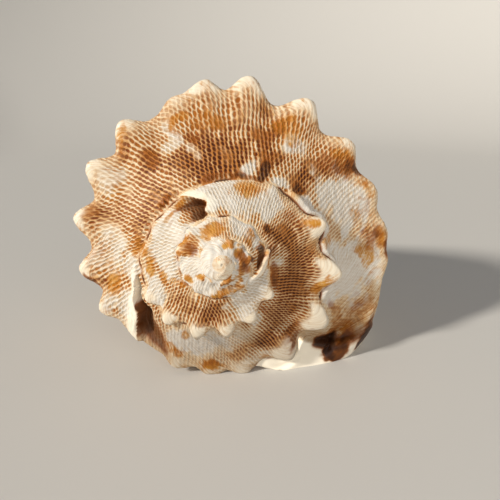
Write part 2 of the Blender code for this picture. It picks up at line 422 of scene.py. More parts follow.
@dataclass(frozen=True)
class OldLips:
    """The varices of the shell. On the ramp they push the surface less outwards, and up along the axis."""

    lips: tuple[OldLip, ...] = (
        OldLip(((0, -242), (2, -242)),
               hollow_from=0.30, hollow_to=0.95, depth=0.16, ridge=0.080, stain_and_shade_from=0.26),
        OldLip(((0, -10), (0.2, -7), (0.45, 6), (0.64, 8), (2, 8)),
               hollow_from=0.05, hollow_to=0.85, depth=0.20, ridge=0.050, stain_and_shade_from=0.04),
        OldLip(((0, 263), (0.2, 261), (0.3, 256), (0.48, 255), (0.77, 260), (0.98, 263), (2, 263)),
               hollow_from=0.08, hollow_to=0.98, depth=0.14, ridge=0.035, stain_and_shade_from=0.27, flange=10.0),
    )

    def total(self, part: Callable[[OldLip, Array, Array], Array], growth: Array, v: Array) -> Array:
        """Add up one thing over the old lips."""
        return sum(part(lip, growth, v) for lip in self.lips)

    def lift(self, growth: Array, v: Array, shoulder: Array) -> tuple[Array, Array]:
        """Find how far the old lips push the surface.

        Args:
            growth: Growth of the edge.
            v: Place on the edge.
            shoulder: Radius of the shoulder there.

        Returns:
            The push away from the axis, and the push down the axis.
        """
        lift = self.total(OldLip.height, growth, v) * shoulder
        lift = lift * fall(v, 1.9, 0.3) * np.where(v > 1.0, 0.7, 1.0)
        flat = 1.0 - rise(v, 0.7, 0.4)
        return lift * (1.0 - LOST_ON_RAMP * flat), -TURNED_ON_RAMP * lift * flat


@dataclass(frozen=True)
class Whorl:
    """Profile of a whorl with all that stands on it."""

    coil: Coil = field(default_factory=Coil)
    knobs: Knobs = field(default_factory=Knobs)
    nodules: Nodules = field(default_factory=Nodules)
    old_lips: OldLips = field(default_factory=OldLips)
    slope: float = 0.50
    nub_radius: float = 3.6
    nub_height: float = 1.5
    ramp_sag: float = 0.035
    knob_rise: float = 0.12
    knob_root: float = 0.5
    knob_skirt: float = 0.13
    lap: float = 0.22
    suture_drop: float = 0.9
    suture_drop_at_knob: float = 0.5
    corner_drop: float = 4.0
    belly: float = 0.03
    canal_radius: float = 4.0
    canal_radius_per_turn: float = 5.0
    canal_depth: float = 138.0
    canal_depth_per_turn: float = 14.0
    canal_from: float = 137.0
    callus_height: float = 10.0
    callus_at: float = 150.0
    callus_half_width: float = 65.0
    crest_round: float = 1.1
    plain_within: float = 5.0
    plain_run: float = 5.0

    def front_end(self, turn: Array) -> tuple[Array, Array]:
        """Find the front end of the side.

        Args:
            turn: Angle of turn.

        Returns:
            Radius and depth.
        """
        grown = (turn - self.canal_from) / 360.0
        radius = self.canal_radius + self.canal_radius_per_turn * np.maximum(grown, 0.0) ** 2
        return radius + np.minimum(grown, 0.0), self.canal_depth + self.canal_depth_per_turn * grown

    def cone(self, radius: Array) -> Array:
        """Depth of the spire's cone, with a round nub on its tip."""
        nub = self.nub_height * bell(radius / self.nub_radius)
        return self.slope * np.sqrt(radius ** 2 + self.nub_radius ** 2) - nub

    def from_callus(self, turn: Array) -> Array:
        """How far round from the middle of the callus, 1 at its sides."""
        return np.abs(turn - self.callus_at) / self.callus_half_width

    def side_length(self, turn: Array) -> Array:
        """Depth of the side from the crest to its front end."""
        return self.front_end(turn)[1] - self.cone(self.coil.shoulder(turn))

    def down_the_side(self, turn: Array, v: Array) -> Array:
        """Place on the side, with the suture lower under each knob.

        Args:
            turn: Angle of turn.
            v: Place on the edge, from 1.

        Returns:
            0 at the crest to 1 at the front end.
        """
        length, suture_v, corner_v = self.side_length(turn), self.coil.suture_v, self.coil.corner_v
        grown = rise(self.coil.shoulder(turn), self.plain_within, self.plain_run)
        drop = self.suture_drop * (0.12 + 0.88 * grown)
        suture = (drop + self.suture_drop_at_knob * self.knobs.height(turn)) / length
        corner = suture + self.corner_drop / length
        above = (v - 1.0) / (suture_v - 1.0) * suture
        between = suture + (v - suture_v) / (corner_v - suture_v) * (corner - suture)
        below = corner + (v - corner_v) / (2.0 - corner_v) * (1.0 - corner)
        return np.where(v < suture_v, above, np.where(v < corner_v, between, below))

    def plain_side(self, turn: Array, side: Array) -> tuple[Array, Array]:
        """Find a point on the side without anything on it.

        Args:
            turn: Angle of turn.
            side: 0 at the shoulder crest to 1 at the front end.

        Returns:
            Radius and depth.
        """
        shoulder = self.coil.shoulder(turn)
        end_radius, end_depth = self.front_end(turn)
        crest_depth = self.cone(shoulder)
        radius = end_radius + (shoulder - end_radius) * np.maximum(1.0 - side ** 2, 0.0)
        return radius, crest_depth + (end_depth - crest_depth) * side

    def side_point(self, turn: Array, side: Array) -> tuple[Array, Array]:
        """Find a point on the side of a whorl.

        Args:
            turn: Angle of turn.
            side: 0 at the shoulder crest to 1 at the front end.

        Returns:
            Radius and depth.
        """
        shoulder = self.coil.shoulder(turn)
        radius, depth = self.plain_side(turn, side)
        radius = radius + shoulder * self.belly * np.sin(np.clip(side / 0.5, 0.0, 1.0) * math.pi)
        knob = self.knobs.height(turn)
        skirt = bell(side * self.side_length(turn) / (self.knob_skirt * shoulder))
        callus = self.callus_height * (1 - smooth_step(self.from_callus(turn))) * rise(side, 0.03, 0.2)
        callus = callus * fall(side, 0.9, 0.3)
        radius = radius + knob * skirt + callus + self.nodules.height(turn, side)
        return radius, depth - self.knob_rise * knob * skirt

    def side_station(self, growth: Array, v: Array, side: Array) -> tuple[Array, Array]:
        """Find a point on the side with the old lips.

        Args:
            growth: Growth of the edge.
            v: Place on the edge.
            side: Place down the side.

        Returns:
            Radius and depth.
        """
        turn = self.coil.turn_of(growth, v)
        radius, depth = self.side_point(turn, side)
        out, forward = self.old_lips.lift(growth, v, self.coil.shoulder(turn))
        return radius + out, depth + forward

    def ramp_depth(self, turn: Array, radius: Array) -> Array:
        """Find the smooth ramp between two shoulders.

        Args:
            turn: Angle of turn.
            radius: Distance from the axis.

        Returns:
            Depth of the ramp there.
        """
        inner, outer = self.coil.shoulder(turn - 360.0), self.coil.shoulder(turn)
        along = (radius - inner) / (outer - inner)
        sag = self.ramp_sag * rise(outer, self.plain_within, self.plain_run)
        return self.cone(radius) + sag * outer * 4 * along * (1 - along)

    def plain(self, turn: Array, v: Array) -> tuple[Array, Array]:
        """Find the profile without anything on it, for the smooth lining.

        Args:
            turn: Angle of turn.
            v: Place on the edge.

        Returns:
            Radius and depth.
        """
        inner, outer = self.coil.shoulder(turn - 360.0), self.coil.shoulder(turn)
        radius = inner + (outer - inner) * np.minimum(v, 1.0)
        on_side = self.plain_side(turn, np.maximum(v - 1.0, 0.0))
        on_ramp = (radius, self.ramp_depth(turn, radius))
        return tuple(np.where(v < 1.0, first, second) for first, second in zip(on_ramp, on_side))

    def ramp_station(self, growth: Array, v: Array) -> tuple[Array, Array]:
        """Find a point on the ramp.

        Args:
            growth: Growth of the edge.
            v: Place on the edge, from 0 at the suture to 1.

        Returns:
            Radius and depth.
        """
        turn = self.coil.turn_of(growth, v)
        suture_v = np.full_like(turn, self.coil.suture_v)
        older = turn - self.coil.whorl
        older_turn = self.coil.turn_of(older, suture_v)
        older_side = self.down_the_side(older_turn, suture_v)
        suture_radius, suture_depth = self.side_station(older, suture_v, older_side)
        radius = suture_radius + (self.coil.shoulder(turn) - suture_radius) * v
        lap = np.maximum(1.0 - v / self.lap, 0.0) ** 2
        depth = self.ramp_depth(turn, radius)
        depth = depth + (suture_depth - self.ramp_depth(turn, suture_radius)) * lap
        knob = self.knobs.height(turn) * rise(v, self.knob_root, 1 - self.knob_root)
        out, forward = self.old_lips.lift(growth, v, self.coil.shoulder(turn))
        return radius + knob + out, depth - self.knob_rise * knob + forward

    def at(self, growth: Array, v: Array, shift: float = 0.0) -> tuple[Array, Array]:
        """Find a point of the sharp profile.

        Args:
            growth: Growth of the edge.
            v: Place on the edge.
            shift: How far to slide along the profile, in millimetres.

        Returns:
            Radius and depth.
        """
        turn = self.coil.turn_of(growth, v)
        width = self.coil.shoulder(turn) - self.coil.shoulder(turn - 360.0)
        length = self.side_length(turn)
        side = self.down_the_side(turn, np.maximum(v, 1.0))
        distance = np.where(v <= 1.0, (v - 1.0) * width, side * length) + shift
        on_ramp = self.ramp_station(growth, np.clip(1.0 + distance / width, 0.0, 1.0))
        slid = np.clip(distance / length, 0.0, 1.0)
        on_side = self.side_station(growth, np.maximum(v, 1.0), slid)
        return tuple(np.where(distance <= 0.0, first, second) for first, second in zip(on_ramp, on_side))

    def rounded(self, growth: Array, v: Array) -> tuple[Array, Array]:
        """Find the profile with its crest rounded off.

        Args:
            growth: Growth of the edge.
            v: Place on the edge.

        Returns:
            Radius and depth.
        """
        sharp = self.at(growth, v)
        reach = window(v, 0.7, 1.4, 0.15, 0.2)
        total = [part * 2.0 for part in sharp]
        weight = 2.0
        for shift, share in ((1.0, 1.5), (2.0, 0.5)):
            for way in (-1.0, 1.0):
                near = self.at(growth, v, way * shift * self.crest_round)
                total = [part + share * other for part, other in zip(total, near)]
                weight += share
        return tuple(part + reach * (whole / weight - part) for part, whole in zip(sharp, total))


@dataclass(frozen=True)
class FinalLip:
    """The thick flat lip round the aperture. Margins: (v, to the right, to the back, height)."""

    outer_blend: float = 17.0
    inner_blend: float = 24.0
    edge: Rows = ((0, 499), (0.14, 503), (0.34, 509), (0.5, 512), (0.75, 515), (1, 515), (2, 512))
    roll_out: float = 1.3
    roll_fade: float = 7.0
    swell: float = 1.8
    swell_fade: float = 8.0
    hollow_depth: float = 2.2
    hollow_run: float = 14.0
    pit_turn: float = 490.5
    pit_v: float = 0.54
    pit_half_turn: float = 2.4
    pit_half_v: float = 0.048
    pit_depth: float = 2.0
    tooth_pitch: float = 0.075
    tooth_height: float = 1.7
    teeth_from: float = 1.06
    teeth_to: float = 1.68
    fold_pitch: float = 0.085
    fold_height: float = 0.8
    folds_from: float = 1.42
    folds_to: float = 1.93
    folds_grown: tuple[float, float] = (100.0, 232.0)
    grown_to: float = Coil.lip
    outer: Rows = (
        (0, 11.2, 21.4, 0), (0.3, 24, 23.8, 0), (0.55, 36, 26.7, 0), (0.78, 46, 30.8, 0),
        (1, 54.5, 38.5, 0), (1.1, 60.5, 49, 0), (1.2, 62.5, 60, 0), (1.3, 61.5, 72, 0),
        (1.4, 57, 84.5, 0), (1.5, 48, 97.5, 0), (1.6, 36, 110, 3.5), (1.7, 24, 121.5, 12),
        (1.8, 14, 132, 23), (1.9, 6, 141.5, 34), (2, -0.5, 149, 44),
    )
    inner: Rows = (
        (0, 12, 27, 0), (0.3, 22, 31.5, 0), (0.55, 30, 37.5, 0), (0.78, 35, 45, 0), (1, 38.5, 53, 0),
        (1.1, 41, 60.5, 0), (1.2, 42, 68.5, 0), (1.3, 41, 78.5, 0), (1.4, 37, 89, 0),
        (1.5, 29.5, 100, 0), (1.6, 21, 110, 4), (1.7, 13, 120, 12.5), (1.8, 6.5, 129.5, 23),
        (1.9, 1.5, 137.5, 33.5), (2, -2.5, 144, 42),
    )

    def push(self, growth: Array, v: Array, turn: Array) -> Array:
        """Find how far the reflected edge and the hollow behind it push the surface out.

        Args:
            growth: Growth of each station.
            v: Place on the edge.
            turn: Angle of turn.

        Returns:
            Millimetres outwards.
        """
        x = growth - through(self.edge, v)
        across = window(v, 0.28, 0.95, 0.2, 0.35)
        down = rise(x, -self.hollow_run, self.hollow_run) ** 1.5
        up = rise(x, -1.5, 1.5)
        thick = 1.0 - rise(v, 0.25, 0.3)
        ridge = (self.roll_out + self.swell * thick) * rise(v, 0.0, 0.1)
        ridge = ridge * np.where(x < 0, up, bell(x / (self.roll_fade + self.swell_fade * thick)))
        hollow = self.hollow_depth * across * np.where(x < 0, down * (1.0 - up), 0.0)
        far = np.hypot((turn - self.pit_turn) / self.pit_half_turn, (v - self.pit_v) / self.pit_half_v)
        hollow = hollow + self.pit_depth * bell(far)
        return (ridge - hollow) * fall(growth, self.grown_to, 2.0) * fall(v, 1.95, 0.3)

    def teeth(self, v: Array) -> Array:
        """How far the teeth stand in from the inner margin."""
        ends = window(v, self.teeth_from, self.teeth_to, 0.05, 0.1)
        return self.tooth_height * ends * np.maximum(wave(v - self.teeth_from, self.tooth_pitch), 0.0)

    def folds(self, growth: Array, v: Array) -> Array:
        """Find the folds across the callus.

        Args:
            growth: Growth of each station.
            v: Place on the edge.

        Returns:
            How high they stand.
        """
        first, last = self.folds_grown
        ends = window(v, self.folds_from, self.folds_to, 0.08, 0.06)
        ends = ends * window(growth, first, last, 30.0, 10.0)
        return self.fold_height * ends * (0.5 + 0.5 * wave(v, self.fold_pitch))

    def margin(self, rows: Rows, coil: Coil, v: Array) -> Array:
        """Find a margin of the lip.

        Args:
            rows: Stations of the margin.
            coil: The coil, for its apex.
            v: Place on the edge.

        Returns:
            Points of the margin.
        """
        right, back, height = (through(rows, v, column) for column in (1, 2, 3))
        return np.stack([coil.apex[0] + right, coil.apex[1] + back, np.maximum(height, 0.0)], -1)


@dataclass
class Skin:
    """Places and dressing of a run of stations."""

    places: Array
    relief: Array
    net: Array
    tint: Array
    glaze: Array

    @classmethod
    def bare(cls, places: Array, peach: Array) -> Skin:
        """Dress stations in smooth porcelain, without relief or marks.

        Args:
            places: Points of the surface.
            peach: Share of peach in its colour.

        Returns:
            The dressed stations.
        """
        nought = np.zeros_like(peach)
        net = np.stack([nought] * 4, -1)
        return cls(places, nought, net, net, np.stack([nought + 1.0, peach, nought, nought], -1))


class Border(Enum):
    """Side of a sheet that is split to meet a finer sheet, as (axis, sign) of the fresh grid."""

    OLDER = (0, -1)
    NEWER = (0, 1)
    FIRST_ROW = (1, -1)
    LAST_ROW = (1, 1)

    def holds(self, edge: bmesh.types.BMEdge) -> bool:
        """Tell whether an edge of a fresh grid lies on the border."""
        axis, sign = self.value
        return all(vert.co[axis] * sign > 0.9999 for vert in edge.verts)


@dataclass(frozen=True)
class Markings:
    """Colour of the shell, as soft patches: (turn, v, half turn, half v, strength).

    A patch is full out to its core and fades beyond that, both as parts of its half size.
    """

    brown: Rows = (
        (362, 0.25, 24, 0.32, 1), (345, 0.38, 14, 0.25, 0.9), (326, 0.57, 7, 0.12, 1),
        (318, 0.86, 7, 0.1, 0.9), (318, 0.4, 10, 0.25, 0.6), (349, 0.57, 5, 0.07, 1),
        (290, 0.84, 7, 0.14, 0.8), (292, 0.6, 8, 0.2, 0.6), (300, 0.2, 20, 0.15, 0.75),
        (281, 0.1, 5, 0.14, 0.8), (318, 0.09, 6, 0.06, 1), (258, 0.85, 4, 0.12, 0.9),
        (383, 0.56, 6, 0.16, 1), (379, 0.86, 4, 0.1, 0.9), (389, 0.25, 5, 0.22, 1),
        (387, 0.72, 4, 0.1, 0.8), (409, 0.42, 6, 0.2, 1), (414, 0.62, 8, 0.15, 1),
        (418, 0.8, 7, 0.16, 1), (411, 0.2, 6, 0.15, 1), (398, 0.33, 8, 0.2, 0.45),
        (372, 0.62, 8, 0.16, 0.5), (449, 0.82, 4, 0.16, 1), (443, 0.72, 4, 0.12, 0.8),
        (437, 0.2, 5, 0.12, 0.4), (470, 0.82, 9, 0.16, 0.55), (479, 0.7, 9, 0.25, 0.6),
        (479, 0.28, 5, 0.18, 0.9), (490, 0.48, 9, 0.2, 1), (484, 0.72, 6, 0.12, 0.9),
        (218, 0.55, 8, 0.3, 0.6), (205, 0.7, 8, 0.1, 0.6), (184, 0.78, 6, 0.1, 0.9),
        (172, 0.62, 9, 0.12, 0.8), (152, 0.62, 10, 0.18, 0.95), (140, 0.8, 7, 0.12, 1),
        (135, 0.4, 14, 0.28, 0.85), (112, 0.4, 16, 0.42, 1), (92, 0.55, 12, 0.3, 0.9),
        (72, 0.35, 12, 0.3, 1), (58, 0.22, 7, 0.1, 1), (50, 0.62, 7, 0.14, 0.45),
        (64, 0.7, 6, 0.14, 0.7), (88, 0.85, 5, 0.1, 0.8), (160, 0.45, 10, 0.15, 0.5),
        (-145, 0.45, 16, 0.25, 0.6), (-170, 0.45, 18, 0.36, 0.95), (-190, 0.28, 8, 0.2, 0.8),
        (-126, 0.5, 12, 0.3, 0.4), (-227, 0.82, 6, 0.14, 0.8), (-240, 0.98, 8, 0.06, 0.7),
        (-412, 0.5, 14, 0.3, 1), (-432, 0.6, 12, 0.25, 0.8), (-424, 1, 10, 0.1, 0.9),
        (-357, 0.4, 14, 0.25, 0.5), (-630, 0.6, 30, 0.5, 0.7), (-660, 0.4, 16, 0.4, 0.7),
        (-570, 0.6, 16, 0.3, 0.5), (-710, 0.8, 26, 0.2, 0.6), (-282, 0.6, 8, 0.3, 0.9),
    )
    dark: Rows = (
        (389, 0.15, 3.5, 0.1, 1), (411, 0.19, 3.5, 0.08, 0.75), (417, 0.84, 3, 0.06, 0.45),
        (58, 0.22, 5, 0.07, 0.8), (490.5, 0.54, 3, 0.07, 1), (488, 0.76, 5, 0.11, 0.62),
        (491, 0.62, 4, 0.08, 0.6), (478, 0.24, 3, 0.1, 0.42), (477, 1, 3, 0.06, 1),
        (418, 0.82, 5, 0.13, 0.46), (412, 0.66, 6, 0.13, 0.42), (383, 0.56, 5, 0.13, 0.34),
        (349, 0.57, 4, 0.07, 0.5), (389, 0.26, 4, 0.16, 0.4), (447, 0.72, 4, 0.1, 0.5),
        (444, 0.88, 3, 0.07, 0.44), (318, 0.84, 6, 0.08, 0.3), (326, 0.57, 5, 0.1, 0.4),
        (290, 0.86, 5, 0.1, 0.34), (184, 0.78, 5, 0.08, 0.34), (140, 0.8, 6, 0.1, 0.34),
        (-422, 0.48, 14, 0.36, 0.55), (-287, 0.66, 6, 0.22, 0.75), (-275, 0.1, 8, 0.2, 0.7),
        (-645, 0.6, 18, 0.3, 0.5), (-620, 0.55, 16, 0.35, 0.5), (-122, 0.04, 6, 0.06, 0.4),
        (-544, 0.8, 10, 0.16, 0.3), (112, 0.8, 8, 0.1, 0.28), (476, 0.6, 5, 0.14, 0.3),
        (471, 0.78, 3, 0.14, 0.3), (61, 0.76, 6, 0.14, 0.42), (362, 0.06, 12, 0.05, 0.6),
        (383, 0.04, 8, 0.03, 0.5), (318, 0.09, 5, 0.04, 0.5), (140, 0.92, 6, 0.07, 0.6),
        (258, 0.98, 4, 0.06, 0.7), (420, 0.97, 4, 0.06, 0.7), (452, 0.98, 4, 0.05, 0.6),
        (78, 0.1, 8, 0.08, 0.6), (100, 0.08, 10, 0.06, 0.5), (118, 0.1, 8, 0.06, 0.6),
        (141, 0.12, 4, 0.08, 0.5), (-83, 0.88, 4, 0.08, 0.25), (-52, 0.62, 5, 0.05, 0.3),
    )
    white: Rows = (
        (336, 0.58, 5, 0.09, 0.6), (305, 0.76, 9, 0.14, 0.5), (396, 0.6, 5, 0.1, 0.7),
        (380, 0.17, 4, 0.1, 0.8), (428, 0.55, 13, 0.35, 0.9), (422, 0.1, 7, 0.08, 1),
        (458, 0.45, 13, 0.4, 1), (466, 0.2, 12, 0.2, 0.9), (400, 0.08, 6, 0.06, 0.8),
        (243, 0.6, 9, 0.4, 0.8), (270, 0.6, 12, 0.35, 0.5), (264, 0.22, 9, 0.22, 0.7),
        (278, 0.42, 7, 0.2, 0.4), (200, 0.4, 14, 0.28, 0.7), (208, 0.45, 8, 0.16, 0.5),
        (190, 0.35, 14, 0.25, 0.6), (172, 0.3, 12, 0.2, 0.4), (162, 0.85, 14, 0.12, 0.4),
        (2, 0.6, 16, 0.5, 1), (-8, 0.9, 10, 0.2, 1), (24, 0.35, 14, 0.25, 0.8), (40, 0.6, 12, 0.35, 0.9),
        (-56, 0.5, 16, 0.6, 1), (-78, 0.4, 20, 0.45, 1), (-110, 0.75, 12, 0.2, 0.9),
        (-98, 0.25, 14, 0.3, 0.9), (-210, 0.5, 20, 0.45, 1), (-236, 0.45, 16, 0.4, 1),
        (-298, 0.62, 6, 0.18, 1), (-330, 0.7, 24, 0.4, 0.9), (-392, 0.85, 14, 0.25, 0.9),
        (-395, 0.15, 12, 0.2, 0.8), (-455, 0.5, 16, 0.6, 0.9), (-520, 0.5, 30, 0.5, 0.9),
        (-600, 0.85, 20, 0.2, 0.5), (-770, 0.5, 40, 0.8, 1), (-850, 0.5, 60, 0.8, 1),
        (-300, 0.75, 10, 0.3, 0.8), (-120, 0.86, 8, 0.12, 0.8), (92, 0.16, 5, 0.12, 0.6),
        (150, 0.1, 6, 0.1, 0.7), (337, 0.83, 2.4, 0.06, 0.5), (339, 0.72, 2.4, 0.07, 0.55),
        (342, 0.6, 2.4, 0.07, 0.5), (345, 0.48, 2.4, 0.07, 0.5), (349, 0.36, 2.4, 0.07, 0.4),
    )
    ochre: Rows = (
        (22, 0.78, 11, 0.22, 0.9), (254, 0.68, 5, 0.16, 0.9), (262, 0.55, 6, 0.2, 0.45),
        (321, 0.92, 4, 0.06, 0.7), (352, 0.7, 6, 0.1, 0.5), (344, 0.78, 4, 0.05, 0.9),
        (360, 0.66, 5, 0.08, 0.6), (392, 0.68, 5, 0.08, 0.7), (387, 0.76, 4, 0.07, 0.8),
        (109, 0.88, 6, 0.12, 1), (70, 0.86, 3.5, 0.09, 0.8), (411, 0.8, 3, 0.06, 0.9),
        (416, 0.84, 6, 0.12, 0.8), (-33, 0.85, 7, 0.14, 0.9), (-14, 0.45, 3, 0.2, 0.8),
        (-50, 0.8, 7, 0.08, 0.6), (-94, 0.74, 10, 0.12, 1), (-106, 0.48, 8, 0.1, 0.8),
        (-113, 0.24, 5, 0.1, 0.7), (-84, 0.9, 4, 0.08, 0.9), (-275, 0.95, 8, 0.14, 0.9),
        (-292, 0.93, 5, 0.1, 0.9), (-305, 0.38, 8, 0.16, 0.9), (-357, 0.43, 16, 0.26, 0.8),
        (-372, 0.62, 8, 0.2, 0.6), (-484, 0.18, 9, 0.2, 1), (-478, 0.8, 7, 0.15, 0.9),
        (-534, 0.88, 10, 0.16, 1), (-703, 0.6, 14, 0.26, 0.9), (-660, 0.55, 14, 0.3, 0.8),
        (-420, 0.95, 8, 0.14, 0.9), (205, 0.7, 7, 0.08, 0.6), (203, 0.22, 3, 0.12, 0.7),
        (184, 0.8, 6, 0.09, 1), (158, 0.92, 3, 0.05, 0.6), (447, 0.9, 4, 0.07, 0.8),
        (443, 0.1, 4, 0.08, 0.6), (-560, 0.6, 14, 0.25, 0.5), (281, 0.16, 6, 0.1, 0.7),
        (277, 0.08, 5, 0.1, 0.7), (-384, 0.5, 12, 0.3, 0.7), (-366, 0.5, 10, 0.25, 0.6),
        (-122, 0.12, 5, 0.08, 0.9), (-568, 0.92, 8, 0.14, 0.8), (-420, 0.75, 10, 0.25, 0.7),
        (-311, 0.67, 10, 0.25, 0.6), (-544, 0.7, 12, 0.25, 0.8), (-618, 0.75, 14, 0.3, 0.6),
        (487, 0.7, 5, 0.13, 0.9), (428, 0.9, 6, 0.08, 0.6), (452, 0.66, 6, 0.12, 0.7),
        (437, 0.62, 5, 0.1, 0.5),
    )
    base_brown: float = 0.45
    base_ochre: float = 0.22
    base_ochre_from: float = 240.0
    core: float = 0.45
    fade: float = 1.1
    reach: float = 2.2

    def patches(self, rows: Rows, turn: Array, v: Array, warp: Array) -> Array:
        """Add up patches.

        Args:
            rows: The patches.
            turn: Angle of turn of each station.
            v: Place on the edge.
            warp: How far each station's place is shaken, as part of a patch's size.

        Returns:
            Strength from 0 to 1.
        """
        clear = np.ones_like(turn)
        for at_turn, at_v, half_turn, half_v, strength in rows:
            near = np.flatnonzero(np.abs(turn - at_turn) < self.reach * half_turn)
            far = np.hypot((turn[near] - at_turn) / half_turn, (v[near] - at_v) / half_v) + warp[near]
            clear[near] *= 1.0 - strength * (1.0 - rise(far, self.core, self.fade))
        return 1.0 - clear


@dataclass(frozen=True)
class Net:
    """Net of pits between low ridges: rows of pits run round the whorls, each half a pit on from the last.

    Pitches: (angle of turn, millimetres between pits along a row).
    """

    pitches: Pairs = (
        (-500, 1.1), (-250, 1.15), (-180, 1.3), (0, 1.2), (130, 1.15), (250, 1.6), (340, 1.7),
        (420, 1.55), (540, 1.55),
    )
    row_pitch: float = 1.8
    slope: float = 0.894
    depth: float = 0.16
    lean: float = 0.40
    half_width: float = 0.37
    half_height: float = 0.66
    first_turn: float = -1600.0
    last_turn: float = 600.0

    def tracks(self, coil: Coil) -> tuple[Array, Array, Array]:
        """Count the pits along the suture.

        Args:
            coil: The coil of the shell.

        Returns:
            Angles of turn, pits up to there along the suture, and how many more for each row away from it.
        """
        turns = np.arange(self.first_turn, self.last_turn, 1.0)
        pitch = through(self.pitches, turns)
        suture = np.cumsum(coil.shoulder(turns - 360.0) / pitch)
        swing = np.cumsum(self.row_pitch * self.slope / pitch)
        return turns, suture * math.radians(1.0), swing * math.radians(1.0)

    def pits(self, run: Array, row: Array, swing: Array) -> Array:
        """Find how deep in a pit each station is.

        Args:
            run: Pits round the suture.
            row: Rows from the suture.
            swing: How many more pits round for each row away from the suture.

        Returns:
            1 in the middle of a pit, 0 on a ridge.
        """
        nearest = np.full_like(row, np.inf)
        for near in (np.floor(row), np.floor(row) + 1.0):
            along = run + near * swing + near / 2
            above = row - near
            aside = along - np.round(along) + self.lean * above
            nearest = np.minimum(nearest, np.hypot(aside / self.half_width, above / self.half_height))
        return fall(nearest, 1.2, 0.7)


@dataclass
class Spots:
    """A run of stations on the outside, with what their relief and their colours share."""

    growth: Array
    v: Array
    places: Array
    turn: Array
    shoulder: Array
    arc: Array
    past_edge: Array
    shake: Array
    sway: Array


